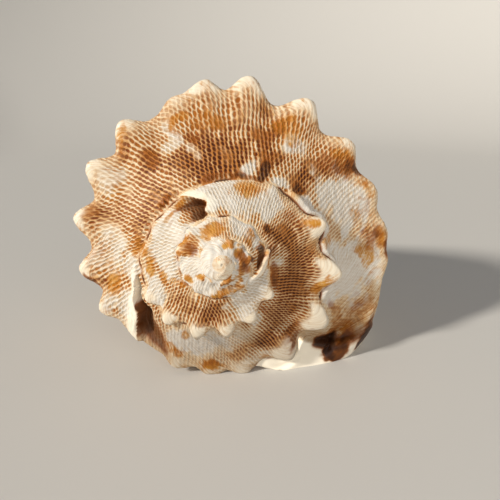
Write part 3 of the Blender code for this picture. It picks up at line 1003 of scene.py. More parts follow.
@dataclass
class Coat:
    """Relief and colours of the outside.

    An arc is millimetres from the suture along the profile. Lobes lap over the knobs beside the last suture.
    Places round the shell are angles of turn, and those of the spire and its nub are radii of the shoulder.
    """

    whorl: Whorl
    lip: FinalLip
    net: Net = field(default_factory=Net)
    markings: Markings = field(default_factory=Markings)
    ramp_stretch: float = 1.118
    lobe: float = 1.5
    lobe_arc: float = 2.0
    lobe_half: float = 1.5
    lobes_from: float = 404.0
    lobes_to: float = 480.0
    rim_arc: float = 2.2
    rim_half: float = 1.9
    rim_from: float = 413.0
    bead: float = 1.3
    bead_arc: float = 2.4
    bead_half: float = 1.2
    bead_pitch: float = 4.4
    beads_from: float = 284.0
    beads_to: float = 330.0
    smooth_at: float = 195.0
    smooth_half: float = 48.0
    faint_from: float = 412.0
    fainter_from: float = 442.0
    faint_run: float = 20.0
    spire_from: float = 4.5
    spire_to: float = 18.0
    spire_waves: float = 0.24
    spire_grain: float = 0.10
    nub_to: float = 7.4
    inner_to: float = 230.0
    worn_from: float = 2.6
    worn_lower_inside: float = 1.4
    worn_run: float = 3.4
    band: float = 8.0
    band_narrowing: float = 3.5
    # Half width of the dark along the suture, partly a real thin dark line and partly painted shade of the
    # crease.
    suture_stain_and_shade_half: float = 0.85
    grain: float = 0.05

    def __post_init__(self) -> None:
        """Choose the noise, and count pits and growth lines along the shell."""
        self.fine_ripples = Ripples(11, 2.6, 40)
        self.broad_ripples = Ripples(23, 9.0, 30)
        self.blotch_ripples = Ripples(37, 26.0, 30)
        self.track_turns, self.track_runs, self.track_swings = self.net.tracks(self.whorl.coil)
        self.track_edges = np.cumsum(self.whorl.coil.shoulder(self.track_turns)) * math.radians(1.0)

    def spots(self, growth: Array, v: Array, places: Array) -> Spots:
        """Work out what relief and colours share.

        Args:
            growth: Growth of each station.
            v: Place on the edge.
            places: Points of the smooth surface.

        Returns:
            The stations with it.
        """
        whorl, coil = self.whorl, self.whorl.coil
        turn = coil.turn_of(growth, v)
        shoulder = coil.shoulder(turn)
        width = (shoulder - coil.shoulder(turn - 360.0)) * self.ramp_stretch
        side = whorl.down_the_side(turn, np.maximum(v, 1.0)) * whorl.side_length(turn)
        arc = np.where(v <= 1.0, v * width, width + side)
        past_edge = growth - through(self.lip.edge, v)
        shake, sway = self.fine_ripples.at(places), self.broad_ripples.at(places)
        return Spots(growth, v, places, turn, shoulder, arc, past_edge, shake, sway)

    def spire(self, at: Spots) -> Array:
        """Where the eroded upper spire is."""
        return fall(at.shoulder, self.spire_to, 4.0) * rise(at.shoulder, self.spire_from, 2.0)

    def nub(self, at: Spots) -> Array:
        """Where the very tip of the spire is."""
        return fall(at.shoulder, self.nub_to, 2.4)

    def tips(self, at: Spots) -> Array:
        """Find the rubbed tips of the knobs.

        Args:
            at: The stations.

        Returns:
            How rubbed they are, from 0 to 1.
        """
        inner = fall(at.turn, self.inner_to, 30.0)
        over = self.whorl.knobs.height(at.turn) - self.worn_from
        high = np.clip((over + self.worn_lower_inside * inner) / self.worn_run, 0.0, 1.0)
        return high * rise(at.v, 0.84 - 0.14 * inner, 0.14) * fall(at.v, 1.25, 0.2)

    def lobes(self, at: Spots) -> Array:
        """Where the lobes are."""
        return window(at.turn, self.lobes_from, self.lobes_to, 8.0, 8.0) * fall(at.v, 1.0, 0.3)

    def beads(self, at: Spots) -> Array:
        """Find the glossy beads beside the suture.

        Args:
            at: The stations.

        Returns:
            1 in the middle of a bead.
        """
        beads = np.maximum(np.cos(2 * math.pi * at.turn / self.bead_pitch + 0.8 * at.sway), 0.0)
        beads = beads * window(at.turn, self.beads_from, self.beads_to, 6.0, 6.0)
        return beads * bell((at.arc - self.bead_arc) / self.bead_half) * fall(at.v, 1.0, 0.3)

    def behind_lip(self, at: Spots) -> Array:
        """Find the dark smooth band behind the final lip's edge.

        Args:
            at: The stations.

        Returns:
            Its strength.
        """
        band = self.band - self.band_narrowing * rise(at.v, 0.45, 0.2)
        across = rise(at.past_edge, -band, 0.75 * band) * fall(at.past_edge, 2.2, 2.0)
        along = window(at.v, 0.20, 1.0, 0.12, 0.12)
        return across * along * (1.0 - 0.45 * rise(at.v, 0.52, 0.12))

    def callus(self, at: Spots) -> Array:
        """Strength of the glaze on the callus beside the aperture."""
        across = fall(self.whorl.from_callus(at.turn), 1.0, 0.25)
        return across * rise(at.v, 1.12, 0.05) * rise(at.growth, 60.0, 20.0)

    def netted(self, at: Spots, *bare: Array) -> Array:
        """Find where the net of pits shows.

        Args:
            at: The stations.
            bare: Where the net is missing.

        Returns:
            Strength of the net.
        """
        ramp = fall(at.v, 1.2, 0.2)
        faint = (0.4 * rise(at.turn, self.faint_from, self.faint_run) * ramp,
                 0.6 * rise(at.turn, self.fainter_from, self.faint_run) * ramp,
                 0.45 * rise(at.v, 0.76, 0.16), 0.35 * self.spire(at),
                 0.72 * smooth_step(1.0 - np.abs(at.turn - self.smooth_at) / self.smooth_half))
        strength = without(rise(at.arc, 0.2 + 3.0 * self.lobes(at), 0.8), *bare, *faint)
        strength = strength * np.clip(0.95 + 0.2 * at.sway, 0.5, 1.0)
        return strength * fall(at.v, 1.5, 0.4) * rise(at.shoulder, 8.0, 5.0)

    def marks(self, at: Spots) -> tuple[Array, Array, Array, Array]:
        """Lay the patches of colour, which grow blurred on the eroded spire.

        Args:
            at: The stations.

        Returns:
            Strengths of brown, dark, white and ochre.
        """
        marks, turn, v, spire = self.markings, at.turn, at.v, self.spire(at)
        warp = 0.18 * at.sway + 0.10 * at.shake
        brown, dark, white, ochre = (marks.patches(rows, turn, v, warp)
                                     for rows in (marks.brown, marks.dark, marks.white, marks.ochre))
        on_side = rise(v, 1.05, 0.2)
        blotches = 0.30 + 0.30 * self.blotch_ripples.at(at.places)
        brown = np.maximum(brown, marks.base_brown) * (1.0 - on_side) + blotches * on_side
        mottle = 0.45 * at.sway + 0.35 * at.shake + 0.15 + 1.8 * (brown - marks.base_brown) - 0.7 * white
        mottle = spire * rise(mottle, 0.0, 0.9) * rise(at.shoulder, 8.4, 1.2)
        brown = brown + spire * (0.35 + 0.45 * mottle - brown)
        white = white + spire * (0.9 - 0.9 * mottle - white)
        ochre = np.maximum(ochre, 0.60 * mottle + 0.30 * self.nub(at))
        ochre = np.maximum(ochre, marks.base_ochre * rise(v, 0.45, 0.2) * (turn > marks.base_ochre_from))
        return brown, dark, white, ochre

    def dress(self, growth: Array, v: Array, places: Array) -> Skin:
        """Work out relief and colour of a run of stations on the outside.

        Args:
            growth: Growth of each station.
            v: Place on the edge.
            places: Points of the smooth surface.

        Returns:
            The dressed stations.
        """
        at = self.spots(growth, v, places)
        arc, shake, sway = at.arc, at.shake, at.sway
        hollow, stain, smooth = (self.whorl.old_lips.total(part, growth, v)
                                 for part in (OldLip.hollow, OldLip.stain, OldLip.polish))
        tip, nub, lobes, beads = self.tips(at), self.nub(at), self.lobes(at), self.beads(at)
        behind_lip, callus = self.behind_lip(at), self.callus(at)
        porcelain = rise(at.past_edge, -1.0, 2.0)
        strength = self.netted(at, tip, porcelain, hollow)
        run = np.interp(at.turn, self.track_turns, self.track_runs) + 0.05 * shake + 0.10 * sway
        swing = np.interp(at.turn, self.track_turns, self.track_swings)
        row = (arc + 0.08 * shake) / self.net.row_pitch
        off_suture = rise(v, 0.02, 0.05)
        relief = self.grain * shake * off_suture * (1.0 - porcelain)
        relief = relief - self.net.depth * strength * self.net.pits(run, row, swing)
        relief = relief + self.lobe * lobes * bell((arc - self.lobe_arc) / self.lobe_half)
        relief = relief + self.bead * beads
        uneven = self.spire_waves * sway + self.spire_grain * shake
        relief = relief + self.spire(at) * (1.0 - nub) * uneven * off_suture
        relief = relief * (1.0 - callus) + self.lip.folds(growth, v)
        brown, dark, white, ochre = self.marks(at)
        # The old lips' hollows add their dark, which is partly real stain and partly painted shade of the
        # recess.
        dark = together(dark, 0.66 * stain, 0.85 * behind_lip)
        porcelain = np.maximum(np.maximum(porcelain, 0.85 * smooth) * (1.0 - dark), callus)
        strength = without(strength, smooth, behind_lip, 0.55 * white, beads, callus)
        # Painted shade in the suture crease over a real thin dark line, stronger where the lobes lap over
        # the knobs; it joins the dark below.
        suture_stain_and_shade = np.clip(0.42 + 0.35 * sway + 0.5 * lobes, 0.0, 0.9) * bell(arc / self.suture_stain_and_shade_half)
        suture_stain_and_shade = suture_stain_and_shade * fall(v, 1.0, 0.2) * rise(at.shoulder, self.spire_to, 8.0)
        rim = lobes * bell((arc - self.rim_arc) / self.rim_half) * rise(at.turn, self.rim_from, 6.0)
        white = together(white, rim)
        dark = together(dark * (1.0 - rim), 0.9 * suture_stain_and_shade, 0.5 * beads)
        grown = np.interp(growth, self.track_turns, self.track_edges)
        net = np.stack([run, row, swing, strength], -1)
        tint = np.stack([brown * (1.0 - white), dark, white, ochre], -1)
        glaze = np.stack([porcelain, callus, np.maximum(tip, nub), grown], -1)
        return Skin(places, relief, net, tint, glaze)


@dataclass
class HelmetShell:
    """The whole shell as one closed piece. The throat is given as (angle of turn, radius, depth)."""

    whorl: Whorl = field(default_factory=Whorl)
    lip: FinalLip = field(default_factory=FinalLip)
    wall: float = 3.2
    tip_depth: float = 149.0
    throat: Point = (345.0, 40.0, 52.0)
    cavity: float = 128.0
    cavity_steps: int = 36
    cavity_near: float = 40.0
    body_step: float = 0.5
    ramp_rows: int = 56
    crest_rows: int = 4
    corner_rows: int = 6
    side_rows: int = 46
    ramp_crowding: float = 1.2
    side_crowding: float = 1.15

    def __post_init__(self) -> None:
        """Lay out the rows across an edge, crowded towards the suture and the crest."""
        coil = self.whorl.coil
        ramp = np.linspace(0.0, 1.0, self.ramp_rows + 1) ** self.ramp_crowding
        crest = np.linspace(1.0, coil.suture_v, self.crest_rows + 1)
        corner = np.linspace(coil.suture_v, coil.corner_v, self.corner_rows + 1)
        side = np.linspace(0.0, 1.0, self.side_rows + 1) ** self.side_crowding
        self.edge_rows = np.concatenate([ramp, crest[1:]])
        self.side_edge_rows = np.concatenate([corner, coil.corner_v + (2.0 - coil.corner_v) * side[1:]])
        self.coat = Coat(self.whorl, self.lip)

    def outside(self, growth: Array, v: Array) -> Skin:
        """Outer surface, which runs on over the callus and into the aperture."""
        return self.coat.dress(growth, v, self.outside_places(growth, v))

    def outside_places(self, growth: Array, v: Array) -> Array:
        """Find points of the outer surface.

        Args:
            growth: Growth of each station.
            v: Place on the edge.

        Returns:
            The points.
        """
        coil, lip, whorl = self.whorl.coil, self.lip, self.whorl
        at_suture = v <= 0.0
        grown = np.where(at_suture, growth - coil.whorl, growth)
        across = np.where(at_suture, coil.suture_v, v)
        turn = coil.turn_of(grown, across)
        place = coil.in_world(turn, *whorl.rounded(grown, across))
        flare = rise(growth, coil.lip - lip.outer_blend, lip.outer_blend) * rise(v, 0.0, 0.3)
        outer = lip.margin(lip.outer, coil, v)
        place = place + flare[:, None] * (outer - place)
        away = self.across_lip(v)
        front = -coil.axes()[0]
        flat = (1.0 - rise(v, 0.75, 0.4))[:, None]
        away = away * (1.0 - LOST_ON_RAMP * flat) + front * TURNED_ON_RAMP * flat
        place = place + away * lip.push(growth, v, turn)[:, None]
        place[:, 2] = np.maximum(place[:, 2], 0.0)
        return place

    def across_lip(self, v: Array) -> Array:
        """Find the way from the inner margin of the lip to the outer one.

        Args:
            v: Place on the edge.

        Returns:
            Directions, shorter where the margins come closer than a millimetre.
        """
        coil, lip = self.whorl.coil, self.lip
        across = lip.margin(lip.outer, coil, v) - lip.margin(lip.inner, coil, v)
        return across / np.maximum(np.linalg.norm(across, axis=1), 1.0)[:, None]

    def lining(self, growth: Array, v: Array) -> Skin:
        """Find the inner surface of the outer wall; its two ends lie on the whorl inside it.

        Args:
            growth: Growth of each station.
            v: Place on the edge.

        Returns:
            The dressed stations.
        """
        coil, lip, whorl = self.whorl.coil, self.lip, self.whorl
        step = 0.004
        turn = coil.turn_of(growth, v)
        smooth_v = np.clip(v, 0.0, 2.0 - step)
        radius, depth = whorl.plain(turn, smooth_v)
        next_radius, next_depth = whorl.plain(turn, smooth_v + step)
        along_radius, along_depth = next_radius - radius, next_depth - depth
        length = np.hypot(along_radius, along_depth)
        inner_radius = radius - self.wall * along_depth / length
        inner = coil.in_world(turn, inner_radius, depth + self.wall * along_radius / length)
        flare = rise(growth, coil.lip - lip.inner_blend, lip.inner_blend)[:, None]
        margin = lip.margin(lip.inner, coil, v)
        inner = inner + flare * (margin - self.across_lip(v) * lip.teeth(v)[:, None] - inner)
        older = growth - coil.whorl
        corner = self.outside_places(older, np.full_like(v, coil.corner_v))
        front = self.outside_places(older, np.full_like(v, 2.0))
        inner = np.where((v <= 0.0)[:, None], corner, inner)
        inner = np.where((v >= 2.0)[:, None], front, inner)
        return Skin.bare(inner, np.ones_like(v))

    def lip_face(self, growth: Array, v: Array) -> Skin:
        """Find the flat face of the lip between its two margins.

        Args:
            growth: Place across the lip, 0 at the outer margin and 1 at the inner one.
            v: Place on the edge.

        Returns:
            The dressed stations.
        """
        coil = self.whorl.coil
        at_lip = np.full_like(v, coil.lip)
        first = self.outside_places(at_lip, v)
        second = self.lining(at_lip, v).places
        place = first + growth[:, None] * (second - first)
        corner = coil.suture_v + (coil.corner_v - coil.suture_v) * growth
        under = self.outside_places(at_lip - coil.whorl, corner)
        place = np.where((v <= 0.0)[:, None], under, place)
        return Skin.bare(place, growth)

    def add_sheet(self, bm: bmesh.types.BMesh, surface: Surface, columns: Array, rows: Array,
                  strides: tuple[int, int] = (1, 1), split: Sequence[Border] = ()) -> None:
        """Add a grid of faces, move it on to a surface and dress it.

        Args:
            bm: Mesh to add to.
            surface: What gives the places and dressing of stations.
            columns: Growths of the finest columns.
            rows: Places on the edge of the finest rows.
            strides: How many fine columns and rows each face spans.
            split: Borders whose edges are halved to meet a finer sheet.
        """
        across, up = (len(columns) - 1) // strides[0], (len(rows) - 1) // strides[1]
        dressed = bm.verts.layers.int["dressed"]
        made = bmesh.ops.create_grid(bm, x_segments=across, y_segments=up, size=1.0)["verts"]
        halved = {edge for vert in made for edge in vert.link_edges
                  if any(border.holds(edge) for border in split)}
        if halved:
            bmesh.ops.subdivide_edges(bm, edges=list(halved), cuts=1)
        made = [vert for vert in bm.verts if not vert[dressed]]
        grid = np.array([vert.co for vert in made])
        column = np.rint((grid[:, 0] + 1.0) / 2.0 * across * strides[0]).astype(int)
        row = np.rint((grid[:, 1] + 1.0) / 2.0 * up * strides[1]).astype(int)
        skin = surface(columns[column], rows[row])
        relief = bm.verts.layers.float["relief"]
        layers = [bm.loops.layers.float_color[name] for name in DRESSING]
        dressings = zip(skin.net.tolist(), skin.tint.tolist(), skin.glaze.tolist())
        for vert, place, height, dressing in zip(made, skin.places, skin.relief, dressings):
            vert.co = place
            vert[relief] = height
            vert[dressed] = 1
            for loop in vert.link_loops:
                for layer, value in zip(layers, dressing):
                    loop[layer] = value

    def close_holes(self, bm: bmesh.types.BMesh) -> None:
        """Close the tip of the spire, the end of the hollow and the front of the canal.

        Args:
            bm: Mesh to close.
        """
        nub, core = (0.0, 0.0, self.whorl.cone(0.0)), (0.0, 0.0, self.tip_depth)
        centres = self.whorl.coil.in_world(*np.transpose([nub, core, self.throat]))
        layers = [bm.loops.layers.float_color[name] for name in DRESSING]
        rims = [edge for edge in bm.edges if edge.is_boundary]
        for face in bmesh.ops.holes_fill(bm, edges=rims, sides=0)["faces"]:
            middle = np.array(face.calc_center_median())
            beside = next(loop for loop in face.verts[0].link_loops if loop.face != face)
            dressing = [beside[layer].copy() for layer in layers]
            made = bmesh.ops.poke(bm, faces=[face])
            made["verts"][0].co = centres[np.argmin(np.linalg.norm(centres - middle, axis=1))]
            for loop in (loop for part in made["faces"] for loop in part.loops):
                for layer, value in zip(layers, dressing):
                    loop[layer] = value

    def press_relief(self, bm: bmesh.types.BMesh) -> None:
        """Move each vertex along its normal by its relief.

        Args:
            bm: Mesh to press it into.
        """
        bm.normal_update()
        relief = bm.verts.layers.float["relief"]
        moves = [(vert, vert.normal * vert[relief]) for vert in bm.verts]
        for vert, move in moves:
            vert.co += move
            vert.co.z = max(vert.co.z, 0.0)

    def add_sheets(self, bm: bmesh.types.BMesh) -> None:
        """Add all the sheets: the last turn, finer than the spire, the side, the hollow and the lip's face.

        Args:
            bm: Mesh to add to.
        """
        coil, step = self.whorl.coil, self.body_step
        start, end = coil.lip - coil.whorl, coil.lip
        edge, side = self.edge_rows, self.side_edge_rows
        body = np.arange(start, end + step / 2, step)
        self.add_sheet(bm, self.outside, body, edge)
        self.add_sheet(bm, self.outside, body - coil.whorl, edge, (1, 2), (Border.NEWER,))
        for lower, stride in ((2, 2), (3, 4), (4, 8)):
            split = (Border.LAST_ROW, Border.NEWER) if lower == 2 else (Border.LAST_ROW,)
            self.add_sheet(bm, self.outside, body - lower * coil.whorl, edge, (stride, 4), split)
        self.add_sheet(bm, self.outside, body, side, (2, 1), (Border.FIRST_ROW,))
        near = start - self.cavity_near
        inside = np.concatenate([np.linspace(start - self.cavity, near, self.cavity_steps),
                                 np.arange(near + 1.0, start + 0.5, 1.0)])
        self.add_sheet(bm, self.outside, inside, side[self.corner_rows:])
        self.add_sheet(bm, self.lining, inside + coil.whorl, edge[::2])
        self.add_sheet(bm, self.lining, inside + coil.whorl, side)
        across_lip = np.linspace(0.0, 1.0, self.corner_rows + 1)
        self.add_sheet(bm, self.lip_face, across_lip, edge, (1, 2), (Border.OLDER,))
        self.add_sheet(bm, self.lip_face, across_lip, side)
        bmesh.ops.remove_doubles(bm, verts=bm.verts, dist=WELD)

    def build(self) -> bpy.types.Object:
        """Build the shell.

        Returns:
            The finished piece.
        """
        bm = bmesh.new()
        bm.verts.layers.float.new("relief")
        bm.verts.layers.int.new("dressed")
        for name in DRESSING:
            bm.loops.layers.float_color.new(name)
        self.add_sheets(bm)
        self.close_holes(bm)
        bmesh.ops.recalc_face_normals(bm, faces=bm.faces)
        self.press_relief(bm)
        LOG.info("open edges: %d", sum(not edge.is_manifold for edge in bm.edges))
        bmesh.ops.scale(bm, vec=(MILLIMETRE,) * 3, verts=bm.verts)
        return finish_mesh(bm, "shell_surface")


def srgb(red: float, green: float, blue: float) -> Colour:
    """Turn a screen colour, 0 to 255, into the linear colour that a shader takes."""
    parts = [value / 255.0 for value in (red, green, blue)]
    return (*[part / 12.92 if part < 0.04045 else ((part + 0.055) / 1.055) ** 2.4 for part in parts], 1.0)


def operator(operation: str, reflected: bool = False) -> Callable[[Value, Value | float], Value]:
    """Make an operator of a value, which adds a maths node.

    Args:
        operation: What the node does.
        reflected: Whether the other number comes first.

    Returns:
        The operator.
    """
    def apply(value: Value, other: Value | float) -> Value:
        """Join the value and the other number."""
        return value.paint.maths(operation, *((other, value) if reflected else (value, other)))
    return apply


class Value:
    """A number that varies over the surface: a socket whose arithmetic adds maths nodes."""

    def __init__(self, paint: Paint, socket: bpy.types.NodeSocket) -> None:
        """Wrap a socket of a paint."""
        self.paint = paint
        self.socket = socket

    def join(self, operation: str, *others: Value | float) -> Value:
        """Add a maths node on this number and others."""
        return self.paint.maths(operation, self, *others)

    __add__ = __radd__ = operator("ADD")
    __sub__ = operator("SUBTRACT")
    __rsub__ = operator("SUBTRACT", reflected=True)
    __mul__ = __rmul__ = operator("MULTIPLY")
    __truediv__ = operator("DIVIDE")

    def ease(self, low: float, high: float) -> Value:
        """Ease from 0 at the low value to 1 at the high one."""
        settings, values = {"interpolation_type": "SMOOTHSTEP"}, {0: self, 1: low, 2: high}
        return Value(self.paint, self.paint.node("ShaderNodeMapRange", settings, values).outputs[0])

    def limit(self) -> Value:
        """Keep between 0 and 1."""
        return self.join("MAXIMUM", 0.0).join("MINIMUM", 1.0)


class Paint:
    """A material in the making."""

    def __init__(self, name: str) -> None:
        """Start a material with its own node tree.

        Args:
            name: Name of the material.
        """
        self.material = bpy.data.materials.new(name)
        self.material.use_nodes = True
        self.tree = self.material.node_tree
        self.surface = self.tree.nodes["Principled BSDF"]

    def node(self, kind: str, settings: dict[str, object],
             values: dict[int | str, object]) -> bpy.types.Node:
        """Add a node.

        Args:
            kind: Type of the node.
            settings: Its settings, or the stops of its colour ramp.
            values: Numbers, colours or links of its sockets.

        Returns:
            The node.
        """
        made = self.tree.nodes.new(kind)
        for name, value in settings.items():
            if name == "stops":
                self.set_stops(made.color_ramp, value)
            else:
                setattr(made, name, value)
        for place, value in values.items():
            self.feed(made.inputs[place], value)
        return made

    def set_stops(self, ramp: bpy.types.ColorRamp, stops: Stops) -> None:
        """Set the stops of a colour ramp.

        Args:
            ramp: The ramp.
            stops: Place and colour of each.
        """
        while len(ramp.elements) < len(stops):
            ramp.elements.new(0.5)
        for element, (place, colour) in zip(ramp.elements, stops):
            element.position = place
            element.color = colour

    def feed(self, socket: bpy.types.NodeSocket, value: object) -> None:
        """Set a socket, or link something to it.

        Args:
            socket: The socket.
            value: A number, a colour, or what is linked.
        """
        if isinstance(value, Value):
            value = value.socket
        if isinstance(value, bpy.types.NodeSocket):
            self.tree.links.new(value, socket)
        else:
            socket.default_value = value

    def finish(self, values: dict[str, object]) -> bpy.types.Material:
        """Feed the sockets of the surface.

        Args:
            values: Numbers, colours or links, by the name of the socket.

        Returns:
            The finished material.
        """
        for name, value in values.items():
            self.feed(self.surface.inputs[name], value)
        return self.material

    def maths(self, operation: str, *parts: Value | float) -> Value:
        """Add a maths node."""
        made = self.node("ShaderNodeMath", {"operation": operation}, dict(enumerate(parts)))
        return Value(self, made.outputs[0])

    def mix(self, factor: Value | float, first: object, second: object,
            blend: str = "MIX") -> bpy.types.NodeSocket:
        """Mix two colours.

        Args:
            factor: Share of the second.
            first: First colour.
            second: Second colour.
            blend: How they mix.

        Returns:
            The mixed colour.
        """
        settings = {"data_type": "RGBA", "blend_type": blend, "clamp_factor": True}
        return self.node("ShaderNodeMix", settings, {0: factor, 6: first, 7: second}).outputs[2]

    def ramp(self, value: Value, stops: Stops) -> bpy.types.NodeSocket:
        """Turn a number into a colour by a ramp."""
        return self.node("ShaderNodeValToRGB", {"stops": stops}, {0: value}).outputs[0]

    def attribute(self, name: str) -> tuple[Value, Value, Value, Value]:
        """Read one of the piece's own attributes.

        Args:
            name: Its name.

        Returns:
            Its four numbers.
        """
        made = self.node("ShaderNodeAttribute", {"attribute_name": name}, {})
        parts = self.node("ShaderNodeSeparateColor", {}, {0: made.outputs["Color"]})
        return (*[Value(self, part) for part in parts.outputs], Value(self, made.outputs["Alpha"]))

    def noise(self, vector: object, scale: float, detail: float = 3.0, roughness: float = 0.6) -> Value:
        """Add noise on a vector.

        Args:
            vector: Where the noise is read.
            scale: Waves to one unit.
            detail: Octaves.
            roughness: Share that each octave keeps.

        Returns:
            The noise, about 0.5 in the middle.
        """
        values = {"Vector": vector, "Scale": scale, "Detail": detail, "Roughness": roughness}
        return Value(self, self.node("ShaderNodeTexNoise", {}, values).outputs["Fac"])


@dataclass(frozen=True)
class ShellFinish:
    """Colours and gloss of the shell."""

    ridge_stops: Stops = (
        (0.0, srgb(243, 232, 212)),
        (0.35, srgb(238, 218, 184)),
        (0.7, srgb(222, 180, 126)),
        (1.0, srgb(188, 122, 58)),
    )
    pit_stops: Stops = (
        (0.0, srgb(202, 160, 92)),
        (0.35, srgb(174, 104, 28)),
        (0.7, srgb(128, 58, 8)),
        (1.0, srgb(74, 27, 2)),
    )
    white_ridge: Colour = srgb(232, 228, 220)
    white_pit: Colour = srgb(184, 162, 126)
    dark: Colour = srgb(62, 27, 5)
    rust: Colour = srgb(162, 88, 16)
    ochre_stain: Colour = srgb(228, 182, 74)
    amber: Colour = srgb(204, 132, 22)
    rust_stain: Colour = srgb(186, 112, 50)
    cream: Colour = srgb(244, 232, 210)
    stria: Colour = srgb(218, 184, 142)
    porcelain: Colour = srgb(252, 243, 225)
    peach: Colour = srgb(240, 180, 136)
    growth_line: Colour = srgb(214, 186, 148)
    # Painted shade: grey that darkens the lower part of the shell.
    low_shade: Colour = srgb(206, 205, 206)
    roughness: float = 0.48
    specular: float = 0.22
    coat: float = 0.05
    coat_roughness: float = 0.25
    cloud_scale: float = 260.0
    speck_scale: float = 900.0
    lines_per_millimetre: float = 1.6
    lines_per_row: float = 0.2
    pit_dip: float = 0.22
    # Heights, in metres, over which the painted shade at the bottom fades out.
    low_shade_heights: tuple[float, float] = (0.006, 0.036)

    def pits(self, net: Net, run: Value, row: Value, swing: Value, strength: Value) -> Value:
        """Find the pits of the net, as the relief does.

        Args:
            net: The net of pits.
            run: Pits round the suture.
            row: Rows from the suture.
            swing: How many more pits round for each row away from the suture.
            strength: Strength of the net.

        Returns:
            1 in the middle of a pit, 0 on a ridge.
        """
        first = row.join("FLOOR")
        squares = []
        for near in (first, first + 1.0):
            along = run + near * swing + near * 0.5
            aside = (along - along.join("ROUND") + (row - near) * net.lean) / net.half_width
            above = (row - near) / net.half_height
            squares.append(aside * aside + above * above)
        far = squares[0].join("MINIMUM", squares[1]).join("SQRT")
        return ((1.0 - far.ease(0.45, 1.15)) * strength * 1.2).limit()

    def make(self, net: Net) -> bpy.types.Material:
        """Make the material of the shell.

        Args:
            net: The net of pits, for its pitches.

        Returns:
            The material.
        """
        paint = Paint("shell_skin")
        run, row, swing, strength = paint.attribute("net")
        brown, dark, white, ochre = paint.attribute("tint")
        porcelain, peach, tip, grown = paint.attribute("glaze")
        place = paint.node("ShaderNodeTexCoord", {}, {}).outputs["Object"]
        pit = self.pits(net, run, row, swing, strength)
        clouds = paint.noise(place, self.cloud_scale, 4.0)
        specks = paint.noise(place, self.speck_scale)
        sides = {0: grown * self.lines_per_millimetre, 1: row * self.lines_per_row, 2: 0.0}
        lines = paint.node("ShaderNodeCombineXYZ", {}, sides).outputs[0]
        stria = paint.noise(lines, 1.0)
        streaks = (stria - 0.5) * (1.0 - strength) * 1.2
        shade = (brown + (clouds - 0.5) * 0.7 + (specks - 0.5) * 0.3 + streaks).limit()
        paleness = (white + (clouds - 0.5) * 0.6).ease(0.2, 0.8)
        ridge = paint.mix(paleness, paint.ramp(shade, self.ridge_stops), self.white_ridge)
        hole = paint.mix(paleness * 0.85, paint.ramp(shade, self.pit_stops), self.white_pit)
        colour = paint.mix(pit, ridge, hole)
        tips = paint.mix(stria.ease(0.45, 0.75) * 0.35, self.cream, self.stria)
        colour = paint.mix(tip.ease(0.05, 0.75), colour, tips)
        glazed = paint.mix(peach, self.porcelain, self.peach)
        colour = paint.mix(porcelain, colour, glazed)
        between = strength * (1.0 - pit)
        stain = ochre * 1.1 + (clouds - 0.5) * 1.3 + (specks - 0.5) * 0.8 + (stria - 0.5) * 1.1
        stain = stain.ease(0.15, 1.05) * (1.0 - porcelain * 0.85)
        toasted = paint.mix(clouds.ease(0.40, 0.65) * 0.7, self.ochre_stain, self.rust_stain)
        colour = paint.mix(stain * (1.0 - between * 0.40), colour, toasted, "MULTIPLY")
        colour = paint.mix(stain * (0.50 - between * 0.15), colour, self.amber)
        # The dark channel holds real dark marks and, at the sutures and in the old lips' hollows, painted
        # shade; here it is mixed from rust to dark brown.
        dark_stain_and_shade = (dark + (clouds - 0.5) * 0.3).ease(0.12, 0.85)
        dark_stain_and_shade_colour = paint.mix(dark_stain_and_shade * dark_stain_and_shade, self.rust, self.dark)
        colour = paint.mix((dark_stain_and_shade * 1.7).limit() * (0.96 - between * 0.35), colour, dark_stain_and_shade_colour)
        lined = stria.ease(0.35, 0.75) * (0.70 - strength * 0.40) * (1.0 - tip * 0.7) * (1.0 - porcelain)
        colour = paint.mix(lined, colour, self.growth_line, "MULTIPLY")
        # Painted shade: the colour is multiplied darker and greyer towards the bottom of the shell, except
        # on porcelain.
        height = Value(paint, paint.node("ShaderNodeSeparateXYZ", {}, {0: place}).outputs["Z"])
        low = (1.0 - height.ease(*self.low_shade_heights)) * (1.0 - porcelain)
        colour = paint.mix(low, colour, self.low_shade, "MULTIPLY")
        rough = (stria * 0.07 + specks * 0.09) * (1.0 - porcelain * 0.9) * (1.0 - tip * 0.6)
        bump = {"Strength": 1.0, "Distance": MILLIMETRE, "Height": rough - pit * self.pit_dip}
        return paint.finish({
            "Base Color": colour,
            "Roughness": self.roughness - porcelain * 0.2 - tip * 0.1 + pit * 0.1,
            "Specular IOR Level": self.specular,
            "Coat Weight": self.coat,
            "Coat Roughness": self.coat_roughness,
            "Normal": paint.node("ShaderNodeBump", {}, bump).outputs[0],
        })


class LampKind(Enum):
    """Kind of a lamp."""

    FAR = "SUN"
    SQUARE = "AREA"


@dataclass(frozen=True)
class Lamp:
    """A lamp. Its spread is degrees for a far lamp, and metres for a square one."""

    name: str
    kind: LampKind
    place: Point
    spread: float
    power: float
    colour: Colour

    def add(self, target: Point) -> None:
        """Hang the lamp.

        Args:
            target: What it points at.
        """
        data = bpy.data.lights.new(self.name, self.kind.value)
        data.energy = self.power
        data.color = self.colour[:3]
        if self.kind is LampKind.FAR:
            data.angle = math.radians(self.spread)
        else:
            data.size = self.spread
        lamp = add_object(self.name, data)
        lamp.location = self.place
        lamp.rotation_euler = (Vector(target) - Vector(self.place)).to_track_quat("-Z", "Y").to_euler()


